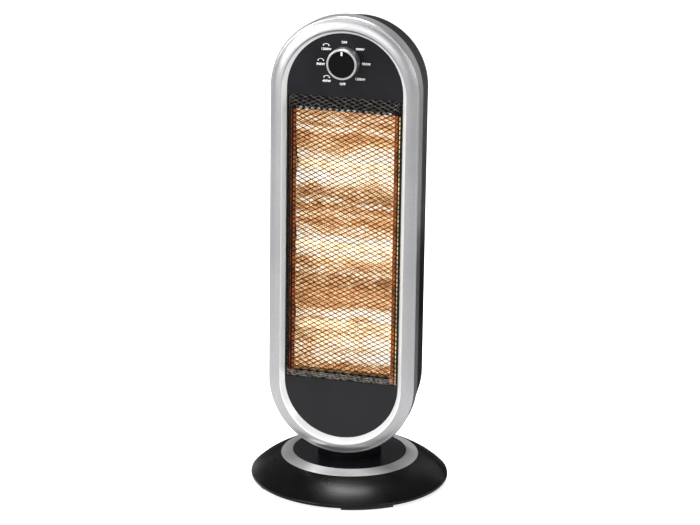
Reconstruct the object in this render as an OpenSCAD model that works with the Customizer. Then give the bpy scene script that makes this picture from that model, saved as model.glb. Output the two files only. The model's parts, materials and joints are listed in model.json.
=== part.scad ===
// Oscillating halogen heater: a racetrack head with a glowing grille, turning on a round domed base.
// +Z is up, the grille faces -Y, and the origin is on the floor under the axis that the head turns about.

/* [Head] */
// Width of the head across its silver bezel
head_w = 172.3; // [166:0.1:184]
// Height of the head across its silver bezel
head_h = 514.1; // [490:0.1:540]
// Width of the bezel, from its inner edge to its side wall
bezel_w = 19; // [17.5:0.5:22]
// Distance of the bezel's ridge ahead of the turning axis
ridge_y = 49; // [47:0.5:56]
// Depth of the bezel, from its ridge to the seam with the rear shell
bezel_depth = 25; // [22:0.5:30]
// Wall of the bezel and of the rear shell
shell_wall = 2.2; // [1.8:0.1:2.6]
// Width of the bright lip that slopes in from the ridge to the panel
lip_w = 4.6; // [3.5:0.1:5.5]
// How far the panel lies behind the ridge
lip_drop = 5.5; // [4.5:0.1:6.5]
// How far the bezel's face falls back from the ridge to its outer corner
face_drop = 3.6; // [2:0.1:4.5]
// Radius of the bezel's outer corner
corner_r = 2.6; // [1.5:0.1:4]
// How far the bezel's side wall draws in towards the seam
side_draft = 0.6; // [0:0.1:1]
// Radius of the bezel's rear edge
rear_edge_r = 1; // [0.5:0.1:1.3]
// Bulge of the bezel's face above a straight slope
face_crown = 0.7; // [0:0.1:1]

/* [Rear shell] */
// Depth of the rear shell behind the seam
shell_depth = 60; // [55:0.5:65]
// Step from the bezel's wall in to the rear shell at the seam
shell_step = 1.6; // [1:0.1:3]
// How far the shell's sides draw in towards its back
shell_draft = 6.2; // [4:0.1:9]
// How far the shell's top end lies below the bezel's
shell_drop = 4; // [2:0.5:5]
// Radius of the shell's back edge
shell_edge_r = 9; // [6:0.5:12]
// Width of the shadow gap at the seam
seam_gap = 1; // [0.6:0.1:1.5]
// Length of the shell's tongue inside the bezel
tongue_l = 6; // [4:0.5:10]
// Length of one vent slot
vent_l = 30; // [20:1:32]
// Height of one vent slot
vent_h = 4; // [3:0.5:5]
// Pitch from one vent slot to the next above it
vent_pitch = 10; // [8:0.5:11]
// Width of the recessed hand grip
grip_w = 76; // [60:1:84]
// Height of the recessed hand grip
grip_h = 26; // [22:1:30]
// Depth of the recessed hand grip
grip_depth = 26; // [20:1:30]

/* [Front panel and grille] */
// Thickness of the front panel
panel_t = 2.5; // [2:0.1:3]
// How far the panel reaches under the bezel
panel_tuck = 9; // [8:0.1:10]
// Margin from the side of the window to the bezel
window_side = 1.65; // [1:0.05:4]
// How much shorter than the head's straight run the window is
window_short = 7.8; // [0:0.1:30]
// Height of the window's centre above the head's centre
window_rise = -2.2; // [-5:0.1:3]
// How far the grille stands proud of the panel
guard_rise = 10; // [7:0.5:13]
// Height of the grille's sloping top and bottom bands
guard_band = 11.1; // [8:0.1:14]
// Width of the grille's sloping side bands
guard_side = 4.8; // [4:0.1:7]
// Thickness of the grille's sheet
guard_t = 0.8; // [0.6:0.1:1.2]
// Columns of diamonds across the grille
guard_cols = 8; // [6:1:9]
// Rows of diamonds up the grille
guard_rows = 30; // [24:1:34]
// Width of one strand of the grille
strand_w = 1.6; // [1.2:0.1:2]

/* [Heating] */
// Height of the plain band of the reflector below its troughs
reflector_low = 11.1; // [8:0.1:20]
// Height of the plain band of the reflector above its troughs
reflector_high = 37.9; // [20:0.1:46]
// Depth of one reflector trough
trough_depth = 24; // [18:0.5:26]
// Distance of the troughs' floor ahead of the turning axis
trough_y = 2.5; // [2:0.5:5]
// Thickness of the reflector sheet
reflector_t = 0.8; // [0.6:0.1:1]
// Distance of the tubes ahead of the troughs' floor
tube_ahead = 19.2; // [14:0.1:21]
// Outer diameter of a quartz tube
tube_d = 11; // [9:0.5:12]
// Wall of a quartz tube
tube_wall = 1.2; // [1:0.1:1.5]
// Diameter of the coiled filament
filament_d = 2.4; // [1.6:0.1:3]
// Wall of a ceramic cap round the end of its tube
cap_wall = 1.4; // [1.2:0.1:2]
// Length of a ceramic cap
cap_l = 16; // [14:0.5:17]
// Thickness of the lamp frame's sheet
frame_t = 1.2; // [1:0.1:1.5]
// Width of the lamp frame's front flange above and below the window
frame_flange = 11; // [10:0.5:13]
// How far the lamp frame's flange reaches in from each side of the window
mouth_side = 8.5; // [7:0.1:10]
// How far that flange reaches down from the top of the window
mouth_top = 17.3; // [15:0.1:19]
// How far that flange reaches up from the bottom of the window
mouth_bottom = 12; // [9:0.1:13]
// Thickness of the heat shield
shield_t = 1; // [0.8:0.1:1.5]
// Gap between the reflector's floor and the heat shield
shield_gap = 2.5; // [2:0.5:4]

/* [Control] */
// Height of the dial above the centre of the head's upper end
dial_rise = 35; // [32:0.5:38]
// Diameter of the knob
knob_d = 35; // [32:0.5:38]
// Depth of the knob
knob_depth = 15.5; // [13:0.5:18]
// Width of the knob's silver rim
knob_rim_w = 2.3; // [1.5:0.1:3]
// Gap between the knob and the panel
knob_gap = 0.8; // [0.5:0.1:1.5]
// Diameter of the switch shaft
shaft_d = 6; // [5:0.5:6.5]
// Diameter of the switch's threaded bush
bush_d = 10; // [9:0.5:12]
// Side of the switch's square case
switch_w = 30; // [26:1:32]
// Depth of the switch's case
switch_depth = 20; // [16:1:24]

/* [Neck and pivot] */
// Diameter of the neck
neck_d = 74; // [70:0.5:78]
// Height of the head above the base's disc
neck_gap = 10.5; // [9:0.5:14]
// Wall of the neck
neck_wall = 3; // [2.5:0.1:4]
// Outer diameter of the pivot tube
pivot_d = 28; // [26:0.5:30]
// Wall of the pivot tube
pivot_wall = 3.5; // [3:0.1:5]
// Width of the pivot tube's flange
pivot_flange_w = 10; // [9:0.5:11]

/* [Base] */
// Widest diameter of the base
base_d = 230; // [222:1:240]
// Height of the base's disc above the lower edge of its cover
cover_h = 30.5; // [29:0.5:34]
// Radius of the base's rounded lower rim
rim_r = 3; // [2:0.1:4]
// Wall of the base cover
cover_wall = 2.5; // [2:0.1:3]
// Outer diameter of the silver trim ring
ring_d = 160.6; // [150:0.1:168]
// Width of the silver trim ring
ring_w = 14.3; // [12:0.1:16]
// Fall of the trim ring from its inner to its outer edge
ring_fall = 3.8; // [3:0.1:5]
// Thickness of the disc and of the trim ring
disc_t = 3; // [2.5:0.1:3.5]
// Bulge of the dome above a straight slope
dome_crown = 2; // [1:0.1:3]
// Thickness of the steel base plate
plate_t = 1.5; // [1.2:0.1:2]
// Height of the foot pads
foot_h = 2.5; // [2.2:0.1:4]
// Width of a foot pad
foot_w = 10; // [8:0.5:12]
// Angle that a foot pad spans
foot_span = 32; // [24:1:40]
// Angle of the first foot pad from the front, towards +X
foot_turn = 26; // [20:1:32]

/* [Swing drive] */
// Teeth of the pinion
pinion_teeth = 14; // [14:2:16]
// Teeth that a full swing gear would have
sector_teeth = 50; // [46:2:52]
// Module of the gear teeth
tooth_m = 1.5; // [1.45:0.05:1.55]
// Pressure angle of the gear teeth
tooth_angle = 25; // [20:1:25]
// Play between the teeth at the pitch line
tooth_play = 0.3; // [0.2:0.05:0.4]
// Thickness of the gears
gear_t = 3.5; // [3:0.1:4]
// Swing of the head to each side
swing = 35; // [30:1:40]
// Diameter of the swing motor
motor_d = 50; // [48:0.5:50]
// Diameter of the motor's output shaft
motor_shaft_d = 7; // [6:0.5:8]

/* [Tip-over switch] */
// Diameter of the plunger
plunger_d = 7.2; // [6:0.2:8]
// Travel of the plunger
plunger_travel = 4; // [3:0.5:4.5]
// Angle of the plunger from the front, towards -X
plunger_turn = 40; // [30:1:60]
// Diameter of the plunger's spring
spring_d = 9; // [8.5:0.1:10]

/* [Cord inlet] */
// Bore of the cord gland
gland_bore = 7.4; // [6:0.1:8]
// Wall of the cord gland
gland_wall = 2.3; // [1.8:0.1:2.6]

/* [Fits] */
// Radial clearance of a part that turns or slides in another
running_fit = 0.08; // [0.05:0.01:0.1]
// Clearance around a fixed part in its hole
fixed_fit = 0.15; // [0.1:0.01:0.2]
// Gap between pieces that move past each other
air_gap = 0.5; // [0.4:0.05:0.6]
// Shank diameter of the screws
screw_d = 3; // [2.6:0.1:3.2]
// Head diameter of the screws
screw_head_d = 5.6; // [5:0.1:5.8]

/* [Hidden] */
$fn = 96;

// Screws, their holes and the bosses round them
screw_head_t = 2;
screw_hole_r = screw_d / 2 + 0.1;
screw_bite = 6;
boss_wall = 2.2;
boss_r = screw_d / 2 + boss_wall;
recess_w = 0.8;
recess_t = 0.8;

// What a cutter reaches past the face that it cuts
over = 1;

// Half sizes and lengths of the head's racetrack outline
head_r = head_w / 2;
run = head_h - head_w;
inner_r = head_r - bezel_w;
panel_r = inner_r + panel_tuck;
window_w = 2 * (inner_r - window_side);
window_h = run - window_short;

// Levels, from the floor up
plate_top = foot_h + plate_t;
gear_z = plate_top + 3 * air_gap;
gear_top = gear_z + gear_t;
motor_z = gear_top + air_gap;
disc_top = foot_h + cover_h;
deck_z = disc_top - disc_t;
ceiling_z = deck_z - cover_wall;
neck_z = disc_top + air_gap;
neck_floor_z = neck_z + neck_wall;
head_z = disc_top + neck_gap;
head_mid = head_z + head_h / 2;
end_z = head_mid - run / 2;
dial_z = head_mid + run / 2 + dial_rise;
window_z = head_mid + window_rise;
troughs_z = window_z - window_h / 2 + reflector_low;
tube_pitch = (window_h - reflector_low - reflector_high) / 3;
tube_levels = [for (i = [2:-1:0]) troughs_z + (i + 0.5) * tube_pitch];

// Depths, from the front back
panel_y = lip_drop - ridge_y;
panel_back = panel_y + panel_t;
guard_y = panel_y - guard_rise;
frame_y = panel_back + guard_t;
tube_y = -trough_y - tube_ahead;
shield_y = reflector_t - trough_y + shield_gap;
seam_y = bezel_depth - ridge_y;
shell_y = seam_y + seam_gap;
back_y = seam_y + shell_depth;
back_inner = back_y - shell_wall;

// ---------------------------------------------------------------- helpers

// Half of a ring of revolution about a depth axis, below the plane z = 0
module lower_end(profile)
    rotate([-90, 0, 0]) rotate_extrude(angle = 180) polygon(profile);

// A profile of [radius, y] points swept round a racetrack with its centre at z = 0
module racetrack(profile, straight) {
    for (side = [0, 1]) {
        mirror([0, 0, side]) translate([0, 0, -straight / 2]) lower_end(profile);
        mirror([side, 0, 0]) linear_extrude(straight, center = true) polygon(profile);
    }
}

// A flat racetrack plate from one depth to another
module racetrack_plate(r, straight, y0, y1)
    racetrack([[0, y0], [r, y0], [r, y1], [0, y1]], straight);

// A flat shape drawn in the XZ plane, given thickness from y0 backwards
module upright(y0, t)
    translate([0, y0 + t, 0]) rotate([90, 0, 0]) linear_extrude(t) children();

// A cylinder along Y from y0 to y1
module rod_y(r, y0, y1)
    translate([0, y0, 0]) rotate([-90, 0, 0]) cylinder(r = r, h = y1 - y0);

// A cylinder along X from x0 to x1
module rod_x(r, x0, x1)
    translate([x0, 0, 0]) rotate([0, 90, 0]) cylinder(r = r, h = x1 - x0);

// A box given by its lowest and highest corners
module block(low, high)
    translate(low) cube(high - low);

// A cylinder from z0 to z1
module post(r, z0, z1)
    translate([0, 0, z0]) cylinder(r = r, h = z1 - z0);

// A tube from z0 to z1
module tube(r_out, r_in, z0, z1)
    difference() {
        post(r_out, z0, z1);
        post(r_in, z0 - over, z1 + over);
    }

// A pan-head screw with its shank along +Z from z = 0 and its cross-slotted head below
module screw(shank_l) {
    cylinder(d = screw_d, h = shank_l);
    difference() {
        post(screw_head_d / 2, -screw_head_t, 0);
        for (turn = [0, 90]) rotate([0, 0, turn])
            block([-screw_head_d / 4, -recess_w / 2, -screw_head_t - over],
                  [screw_head_d / 4, recess_w / 2, recess_t - screw_head_t]);
    }
}

// A screw whose shank runs forward, towards -Y, from a depth
module screw_forward(y, shank_l)
    translate([0, y, 0]) rotate([90, 0, 0]) screw(shank_l);

// A screw whose shank runs down from a level
module screw_down(z, shank_l)
    translate([0, 0, z]) rotate([180, 0, 0]) screw(shank_l);

// Places in the XZ plane, mirrored left to right and set on the head's two ends
module at_ends(x, z)
    for (side = [-1, 1], end = [-1, 1])
        translate([side * x, 0, head_mid + end * (run / 2 + z)]) children();

// Places evenly round the vertical axis
module round_axis(n, turn)
    for (i = [0:n - 1]) rotate([0, 0, turn + 360 * i / n]) children();

function arc(cx, cy, r, from, to, steps) =
    [for (i = [0:steps]) let (a = from + (to - from) * i / steps) [cx + r * cos(a), cy + r * sin(a)]];

// A line from p to q that bulges to its left by a crown
function crowned(p, q, crown, steps) = let (d = q - p, n = [-d[1], d[0]] / norm(d))
    [for (i = [0:steps]) let (t = i / steps) p + d * t + n * crown * 4 * t * (1 - t)];

function reversed(list) = [for (i = [len(list) - 1:-1:0]) list[i]];

// ---------------------------------------------------------------- bezel and panel

ridge_r = inner_r + lip_w;
ridge_edge = 0.9;
bezel_boss_r = screw_d / 2 + 1.4;
bezel_screw_r = panel_r - screw_head_d / 2 - 0.2;
bezel_screw_z = 0.3 * run;
bezel_screw_turn = 50;
bezel_bite = 1.8;

// The bezel's screws: two along each straight side and two round each end
module at_bezel_screws() {
    for (side = [-1, 1], end = [-1, 1])
        translate([side * bezel_screw_r, 0, head_mid + end * bezel_screw_z]) children();
    at_ends(bezel_screw_r * cos(bezel_screw_turn), bezel_screw_r * sin(bezel_screw_turn)) children();
}

module front_bezel() {
    face_y = face_drop - ridge_y;
    outer_face = [head_r - corner_r, face_y];
    profile = concat(
        [[inner_r, panel_y]],
        arc(ridge_r + ridge_edge / 2, ridge_edge - ridge_y, ridge_edge, 230, 270, 3),
        crowned([ridge_r + ridge_edge, -ridge_y], outer_face, -face_crown, 6),
        arc(outer_face[0], face_y + corner_r, corner_r, -80, 0, 5),
        arc(head_r - side_draft - rear_edge_r, seam_y - rear_edge_r, rear_edge_r, 0, 90, 4),
        [[head_r - shell_wall, seam_y],
         [head_r - shell_wall, face_y + corner_r],
         [head_r - corner_r - shell_wall / 2, face_y + shell_wall],
         [ridge_r + shell_wall / 2, shell_wall - ridge_y], [inner_r + shell_wall, panel_y]]);
    color("silver") difference() {
        union() {
            translate([0, 0, head_mid]) racetrack(profile, run);
            at_bezel_screws() rod_y(bezel_boss_r, panel_y - bezel_bite - over, panel_y);
        }
        at_bezel_screws() rod_y(screw_hole_r, panel_y - bezel_bite - fixed_fit, panel_y + over);
    }
}

// The posts that join the front panel to the rear shell
post_x = 52;
post_rise = 25.5;
post_y = seam_y + 8;
post_seat = post_y + fixed_fit;
well_depth = 27;
well_y = back_y - well_depth;
post_bite = 14;
frame_bite = 1.4;

module front_panel()
    color("#1b1b1d") difference() {
        union() {
            translate([0, 0, head_mid]) racetrack_plate(panel_r, run, panel_y, panel_back);
            at_ends(post_x, post_rise) rod_y(boss_r, panel_back - panel_t / 2, post_y);
        }
        block([-window_w / 2, panel_y - over, window_z - window_h / 2],
              [window_w / 2, panel_back + over, window_z + window_h / 2]);
        translate([0, 0, dial_z]) rod_y(bush_d / 2 + fixed_fit, panel_y - over, panel_back + over);
        at_bezel_screws() rod_y(screw_hole_r, panel_y - over, panel_back + over);
        at_ends(post_x, post_rise) rod_y(screw_hole_r, post_y - post_bite - over, post_y + over);
        at_frame_screws() rod_y(screw_hole_r, panel_back - frame_bite - 0.1, panel_back + over);
    }

module bezel_screws()
    color("#8a8a8c") at_bezel_screws() screw_forward(panel_back, panel_t + bezel_bite);

// ---------------------------------------------------------------- grille

guard_fit = 0.3;
guard_flange = 4;
guard_w = window_w - 2 * guard_fit;
guard_h = window_h - 2 * guard_fit;
flat_w = guard_w - 2 * guard_side;
flat_h = guard_h - 2 * guard_band;
fall = panel_back - guard_y;
cell_w = flat_w / guard_cols;
cell_h = flat_h / guard_rows;

// One opening of a given half width and half height
module diamond(half_w, half_h)
    polygon([[-half_w, 0], [0, -half_h], [half_w, 0], [0, half_h]]);

// A field of openings, in two staggered sets
module diamonds(cols, rows) {
    half_w = cell_w / 2 - strand_w;
    half_h = (cell_h - strand_w) / 2;
    for (i = [0:cols - 1], j = [0:rows - 1])
        translate([(i + 0.5 - cols / 2) * cell_w, (j + 0.5 - rows / 2) * cell_h]) diamond(half_w, half_h);
    for (i = [1:cols - 1], j = [1:rows - 1])
        translate([(i - cols / 2) * cell_w, (j - rows / 2) * cell_h]) diamond(half_w, half_h);
}

// Half of the pressed tray's width or height at a depth, taken in from its outer face by an inset
function tray_half(flat, reach, y, inset) =
    flat / 2 + (y - guard_y) * reach / fall - inset * norm([reach, fall]) / fall;

// The tray as a solid with four sloping sides, drawn in by an inset
module tray(inset, y1) {
    y0 = guard_y + inset;
    intersection() {
        rotate([90, 0, 90]) linear_extrude(guard_w + guard_flange, center = true)
            polygon([for (s = [-1, 1], y = s < 0 ? [y0, y1] : [y1, y0])
                [y, s * tray_half(flat_h, guard_band, y, inset)]]);
        linear_extrude(guard_h + guard_flange, center = true)
            polygon([for (s = [-1, 1], y = s < 0 ? [y0, y1] : [y1, y0])
                [s * tray_half(flat_w, guard_side, y, inset), y]]);
    }
}

// One row of openings through a sloping side, from its fold back to the panel
module band_row(reach, openings, pitch) {
    slope_l = norm([reach, fall]);
    rotate([atan2(reach, fall), 0, 0]) linear_extrude(3 * guard_t, center = true)
        for (i = [0:openings - 1]) translate([(i + 0.5 - openings / 2) * pitch, slope_l / 2])
            diamond(pitch / 2 - strand_w, slope_l / 2 - 1.8 * strand_w);
}

// Expanded-metal mesh pressed into a shallow tray, with a flange behind the panel
module mesh_guard()
    color("#161616") translate([0, 0, window_z]) difference() {
        union() {
            tray(0, panel_back + guard_t / 2);
            upright(panel_back, guard_t) square([guard_w, guard_h] + 2 * guard_flange * [1, 1], center = true);
        }
        tray(guard_t, panel_back + guard_t + over);
        upright(guard_y - over, guard_t + 2 * over) diamonds(guard_cols, guard_rows);
        for (end = [0, 1]) mirror([0, 0, end]) translate([0, guard_y, flat_h / 2])
            band_row(guard_band, guard_cols, cell_w);
        for (side = [0, 1]) mirror([side, 0, 0]) translate([flat_w / 2, guard_y, 0])
            rotate([0, 90, 0]) band_row(guard_side, guard_rows, cell_h);
    }

// ---------------------------------------------------------------- heating

frame_margin = 0.5;
frame_in_w = window_w + 2 * frame_margin;
frame_in_h = window_h - 2 * guard_fit;
frame_side_flange = 2.8;
frame_screw_x = frame_in_w / 2 - 6;
frame_screw_z = window_h / 2 + frame_flange - screw_head_d / 2 - air_gap;
cap_r = tube_d / 2 + fixed_fit + cap_wall;
cap_inset = 6;
cap_seat = 4;
cap_in = frame_in_w / 2 - cap_inset;
tube_end = cap_in + cap_seat;
clip_margin = 3;
clip_t = 1.2;

module at_frame_screws()
    for (side = [-1, 1], end = [-1, 1])
        translate([side * frame_screw_x, 0, window_z + end * frame_screw_z]) children();

module at_caps()
    for (side = [0, 1], level = tube_levels)
        mirror([side, 0, 0]) translate([0, tube_y, level]) children();

// A pressed-steel box behind the window, with a flange against the grille's own flange
module lamp_frame()
    color("#b4b6b8") difference() {
        translate([0, 0, window_z]) {
            upright(frame_y, shield_y - frame_y)
                square([frame_in_w, frame_in_h] + 2 * frame_t * [1, 1], center = true);
            upright(frame_y, frame_t)
                square([frame_in_w + 2 * (frame_t + frame_side_flange), window_h + 2 * frame_flange],
                    center = true);
        }
        translate([0, 0, window_z]) upright(frame_y + frame_t, shield_y - frame_y + over)
            square([frame_in_w, frame_in_h], center = true);
        block([mouth_side - window_w / 2, frame_y - over, window_z - window_h / 2 + mouth_bottom],
              [window_w / 2 - mouth_side, frame_y + frame_t + over, window_z + window_h / 2 - mouth_top]);
        at_caps() rod_x(cap_r + fixed_fit, frame_in_w / 2 - over, frame_in_w / 2 + frame_t + over);
        at_frame_screws() rod_y(screw_hole_r, frame_y - over, frame_y + frame_t + over);
    }

module frame_screws()
    color("#8a8a8c") at_frame_screws()
        screw_forward(frame_y + frame_t, frame_t + guard_t + frame_bite);

// One parabolic trough's surface, from its lower cusp to its upper one
trough_steps = 14;
lip_steepness = 0.7;
function trough(level) =
    [for (i = [0:trough_steps]) let (t = 2 * i / trough_steps - 1)
        [-trough_y - trough_depth * t * t, level + t * tube_pitch / 2]];

// Folded sheet: three troughs between a lower and an upper lip, each ending in a flange
module reflector() {
    lip_y = frame_y + frame_t;
    cusp_y = -trough_y - trough_depth;
    lip_run = (cusp_y - lip_y) * lip_steepness;
    low = window_z - frame_in_h / 2;
    high = window_z + frame_in_h / 2;
    front = concat(
        [[lip_y, low], [lip_y, troughs_z - lip_run]],
        trough(tube_levels[2]), trough(tube_levels[1]), trough(tube_levels[0]),
        [[lip_y, troughs_z + 3 * tube_pitch + 2 * lip_run], [lip_y, high]]);
    back = [for (p = reversed(front)) p + [reflector_t, 0]];
    color("#d8a070") translate([-frame_in_w / 2, 0, 0]) rotate([90, 0, 90])
        linear_extrude(frame_in_w) polygon(concat(front, back));
}

shield_slot_h = 3;

module heat_shield()
    color("#a4a6a8") upright(shield_y, shield_t) difference() {
        translate([0, window_z])
            square([frame_in_w, frame_in_h] + 2 * frame_t * [1, 1], center = true);
        for (level = tube_levels, side = [-1, 1])
            translate([side * frame_in_w / 4, level])
                square([frame_in_w / 4, shield_slot_h], center = true);
    }

module quartz_tube(level)
    color([0.95, 0.9, 0.8, 0.6]) translate([0, tube_y, level]) difference() {
        rod_x(tube_d / 2, -tube_end, tube_end);
        rod_x(tube_d / 2 - tube_wall, -tube_end - over, tube_end + over);
    }

// The coil of a tube as its outer form, held by the ceramic caps
module filament(level)
    color("#ffb45a") translate([0, tube_y, level]) rod_x(filament_d / 2, -tube_end, tube_end);

module ceramic_caps()
    color("#ece8df") at_caps() difference() {
        rod_x(cap_r, cap_in, cap_in + cap_l);
        rod_x(tube_d / 2 + fixed_fit, cap_in - over, tube_end);
    }

// Square plates that hold the caps against the lamp frame's sides
module lamp_clips() {
    half = cap_r + clip_margin;
    color("#9a9c9e") at_caps() difference() {
        block([frame_in_w / 2 + frame_t, -half, -half], [frame_in_w / 2 + frame_t + clip_t, half, half]);
        rod_x(cap_r + fixed_fit, frame_in_w / 2, frame_in_w / 2 + frame_t + clip_t + over);
    }
}

cutout_r = 8;
cutout_h = 9;
cutout_rise = 0.3 * window_h;
tab_w = 3;
tab_t = 0.8;
tab_l = 6;

// A disc thermostat on its strap, with two terminals
module thermal_cutout()
    color("#3a3a3c") translate([0, shield_y + shield_t, window_z + cutout_rise]) {
        block([-1.5 * cutout_r, 0, -cutout_r / 2], [1.5 * cutout_r, frame_t, cutout_r / 2]);
        rod_y(cutout_r, 0, cutout_h);
        for (side = [-1, 1]) translate([side * cutout_r / 2, 0, 0])
            block([-tab_w / 2, cutout_h - over, 0], [tab_w / 2, cutout_h + tab_l, tab_t]);
    }

// ---------------------------------------------------------------- rear shell

shell_r = head_r - shell_step;
shell_back_r = shell_r - shell_draft;
tongue_r = head_r - shell_wall - fixed_fit;
tongue_t = 1.8;
grip_z = dial_z;
vent_rows = 9;
vent_centre = 0.3 * window_h;
vent_web = 6;
wire_y = 6;
wire_r = 9;

// Radius of the rear shell's outer surface at a depth
function shell_r_at(y) = shell_r - shell_draft * (y - shell_y) / (back_y - shell_edge_r - shell_y);

// The shell's outline from the seam to its back, drawn in by a given inset
function shell_curve(inset) = concat(
    [[shell_r - inset, shell_y]],
    arc(shell_back_r - shell_edge_r, back_y - shell_edge_r, shell_edge_r - inset, 0, 90, 6));

// The lower end of the head as one solid, drawn in by a given inset
module head_end(inset)
    translate([0, 0, end_z]) lower_end(concat(
        [[0, -ridge_y - over], [head_r - inset, -ridge_y - over], [head_r - inset, seam_y - inset]],
        shell_curve(inset), [[0, back_y - inset]]));

module vent()
    rotate([90, 0, 0]) linear_extrude(shell_wall + 2 * over) {
        square([vent_l - vent_h, vent_h], center = true);
        for (side = [-1, 1]) translate([side * (vent_l - vent_h) / 2, 0]) circle(d = vent_h);
    }

module rear_shell() {
    body = concat([[0, back_y]], reversed(shell_curve(0)), shell_curve(shell_wall), [[0, back_inner]]);
    rim_y = shell_y + shell_wall;
    tongue_in = tongue_r - tongue_t;
    rim = [[tongue_r, rim_y], [tongue_r, seam_y - tongue_l], [tongue_in, seam_y - tongue_l],
        [tongue_in, shell_y], [tongue_in - shell_drop, shell_y], [tongue_in - shell_drop, rim_y]];
    well_r = screw_head_d / 2 + 2 * fixed_fit;
    color("#1d1d1f") difference() {
        union() {
            translate([0, 0, head_mid]) racetrack(rim, run);
            translate([0, 0, head_mid - shell_drop / 2]) racetrack(body, run - shell_drop);
            at_ends(post_x, post_rise) rod_y(well_r + shell_wall, post_seat, back_inner + over);
            translate([0, 0, grip_z]) rotate([0, 90, 0])
                racetrack_plate(grip_h / 2 + shell_wall, grip_w - grip_h,
                    back_y - grip_depth - shell_wall, back_inner + over);
            intersection() {
                at_neck_screws() post(seat_r, head_z, neck_screw_z);
                head_end(shell_wall / 2);
            }
        }
        translate([0, 0, grip_z]) rotate([0, 90, 0])
            racetrack_plate(grip_h / 2, grip_w - grip_h, back_y - grip_depth, back_y + over);
        at_ends(post_x, post_rise) {
            rod_y(screw_hole_r, post_y - over, back_y);
            rod_y(well_r, well_y, back_y + over);
        }
        for (end = [-1, 1], row = [0:vent_rows - 1], col = [-1:1])
            translate([col * (vent_l + vent_web), back_y + over,
                window_z + end * vent_centre + (row - (vent_rows - 1) / 2) * vent_pitch]) vent();
        translate([0, wire_y, 0]) post(wire_r, head_z, end_z - shell_back_r / 2);
        at_neck_screws() post(screw_hole_r, head_z, neck_screw_z + over);
    }
}

module shell_screws()
    color("#8a8a8c") at_ends(post_x, post_rise) screw_forward(well_y, well_y - post_y + post_bite);

// ---------------------------------------------------------------- control

knob_back = panel_y - knob_gap;
knob_front = knob_back - knob_depth;
core_r = knob_d / 2 - knob_rim_w;
knob_wall = 2;
knob_face_t = 2.5;
knob_hub_w = 2.5;
bush_proud = 3.2;
nut_t = 2.4;
nut_w = 2.2;
shaft_front = knob_front + 4;
shaft_back = panel_back + 8;
shaft_flat = 1.2;
flat_l = 8;
pointer_w = 1.8;
pointer_t = 0.6;
pointer_in = 10;
rim_edge = 1;

module rotary_switch()
    color("#26262a") translate([0, 0, dial_z]) difference() {
        union() {
            block([-switch_w / 2, panel_back, -switch_w / 2],
                  [switch_w / 2, panel_back + switch_depth, switch_w / 2]);
            rod_y(bush_d / 2, panel_y - bush_proud, panel_back + over);
            for (i = [-2:2]) translate([i * switch_w / 6, panel_back + switch_depth, -switch_w / 4])
                block([-tab_w / 2, -over, 0], [tab_w / 2, tab_l, tab_t]);
        }
        rod_y(shaft_d / 2 + running_fit, panel_y - bush_proud - over, shaft_back + air_gap);
    }

module switch_nut()
    color("#c8c8ca") translate([0, 0, dial_z]) difference() {
        translate([0, panel_y, 0]) rotate([90, 0, 0])
            cylinder(r = bush_d / 2 + nut_w, h = nut_t, $fn = 6);
        rod_y(bush_d / 2 + running_fit, panel_y - nut_t - over, panel_y + over);
    }

// What a flat takes off the front of the shaft, or leaves in the knob's bore
module shaft_key(fit)
    block([-shaft_d, shaft_front - over, shaft_d / 2 - shaft_flat + fit],
          [shaft_d, shaft_front + flat_l + fit, shaft_d]);

module switch_shaft()
    color("#c0c0c2") translate([0, 0, dial_z]) difference() {
        rod_y(shaft_d / 2, shaft_front, shaft_back);
        shaft_key(0);
    }

module pointer_bar(front)
    block([-pointer_w / 2, front, pointer_in], [pointer_w / 2, knob_front + pointer_t, core_r - rim_edge]);

// A hollow knob with a keyed hub
module knob()
    color("#19191b") translate([0, 0, dial_z]) difference() {
        rod_y(core_r, knob_front, knob_back);
        difference() {
            rod_y(core_r - knob_wall, knob_front + knob_face_t, knob_back + over);
            rod_y(shaft_d / 2 + knob_hub_w, knob_front, panel_y - bush_proud - 2 * knob_gap);
        }
        difference() {
            rod_y(shaft_d / 2 + running_fit, shaft_front, knob_back + over);
            shaft_key(running_fit);
        }
        pointer_bar(knob_front - over);
    }

module knob_pointer()
    color("white") translate([0, 0, dial_z]) pointer_bar(knob_front);

// The knob's silver sleeve, rounded at the front
module knob_rim()
    color("#d0d0d2") translate([0, 0, dial_z]) rotate([-90, 0, 0]) rotate_extrude()
        polygon(concat([[core_r, knob_back], [core_r, knob_front - rim_edge / 2]],
            arc(knob_d / 2 - rim_edge, knob_front + rim_edge / 2, rim_edge, -90, 0, 4),
            [[knob_d / 2, knob_back]]));

// The leads from the switch down the back of the heat shield, laced into one bundle
lead_r = 2.4;
lead_x = -0.29 * frame_in_w;
lead_bend = 2 * lead_r;
lead_y = shield_y + shield_t + lead_r;
lead_top = dial_z - switch_w / 3;
lead_low = window_z - 0.44 * window_h;
lead_front = panel_back + switch_depth - 2 * lead_r;

module switch_leads()
    color("#6a2a24") {
        translate([lead_x, lead_y, 0]) post(lead_r, lead_low, lead_top - lead_bend);
        translate([lead_x, lead_y - lead_bend, lead_top - lead_bend])
            rotate([90, 0, 90]) rotate_extrude(angle = 90)
                translate([lead_bend, 0]) circle(r = lead_r);
        translate([lead_x, 0, lead_top]) rod_y(lead_r, lead_front, lead_y - lead_bend);
        translate([0, lead_front + lead_r, lead_top]) rod_x(lead_r, lead_x, -switch_w / 2);
    }

// ---------------------------------------------------------------- neck and pivot

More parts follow.
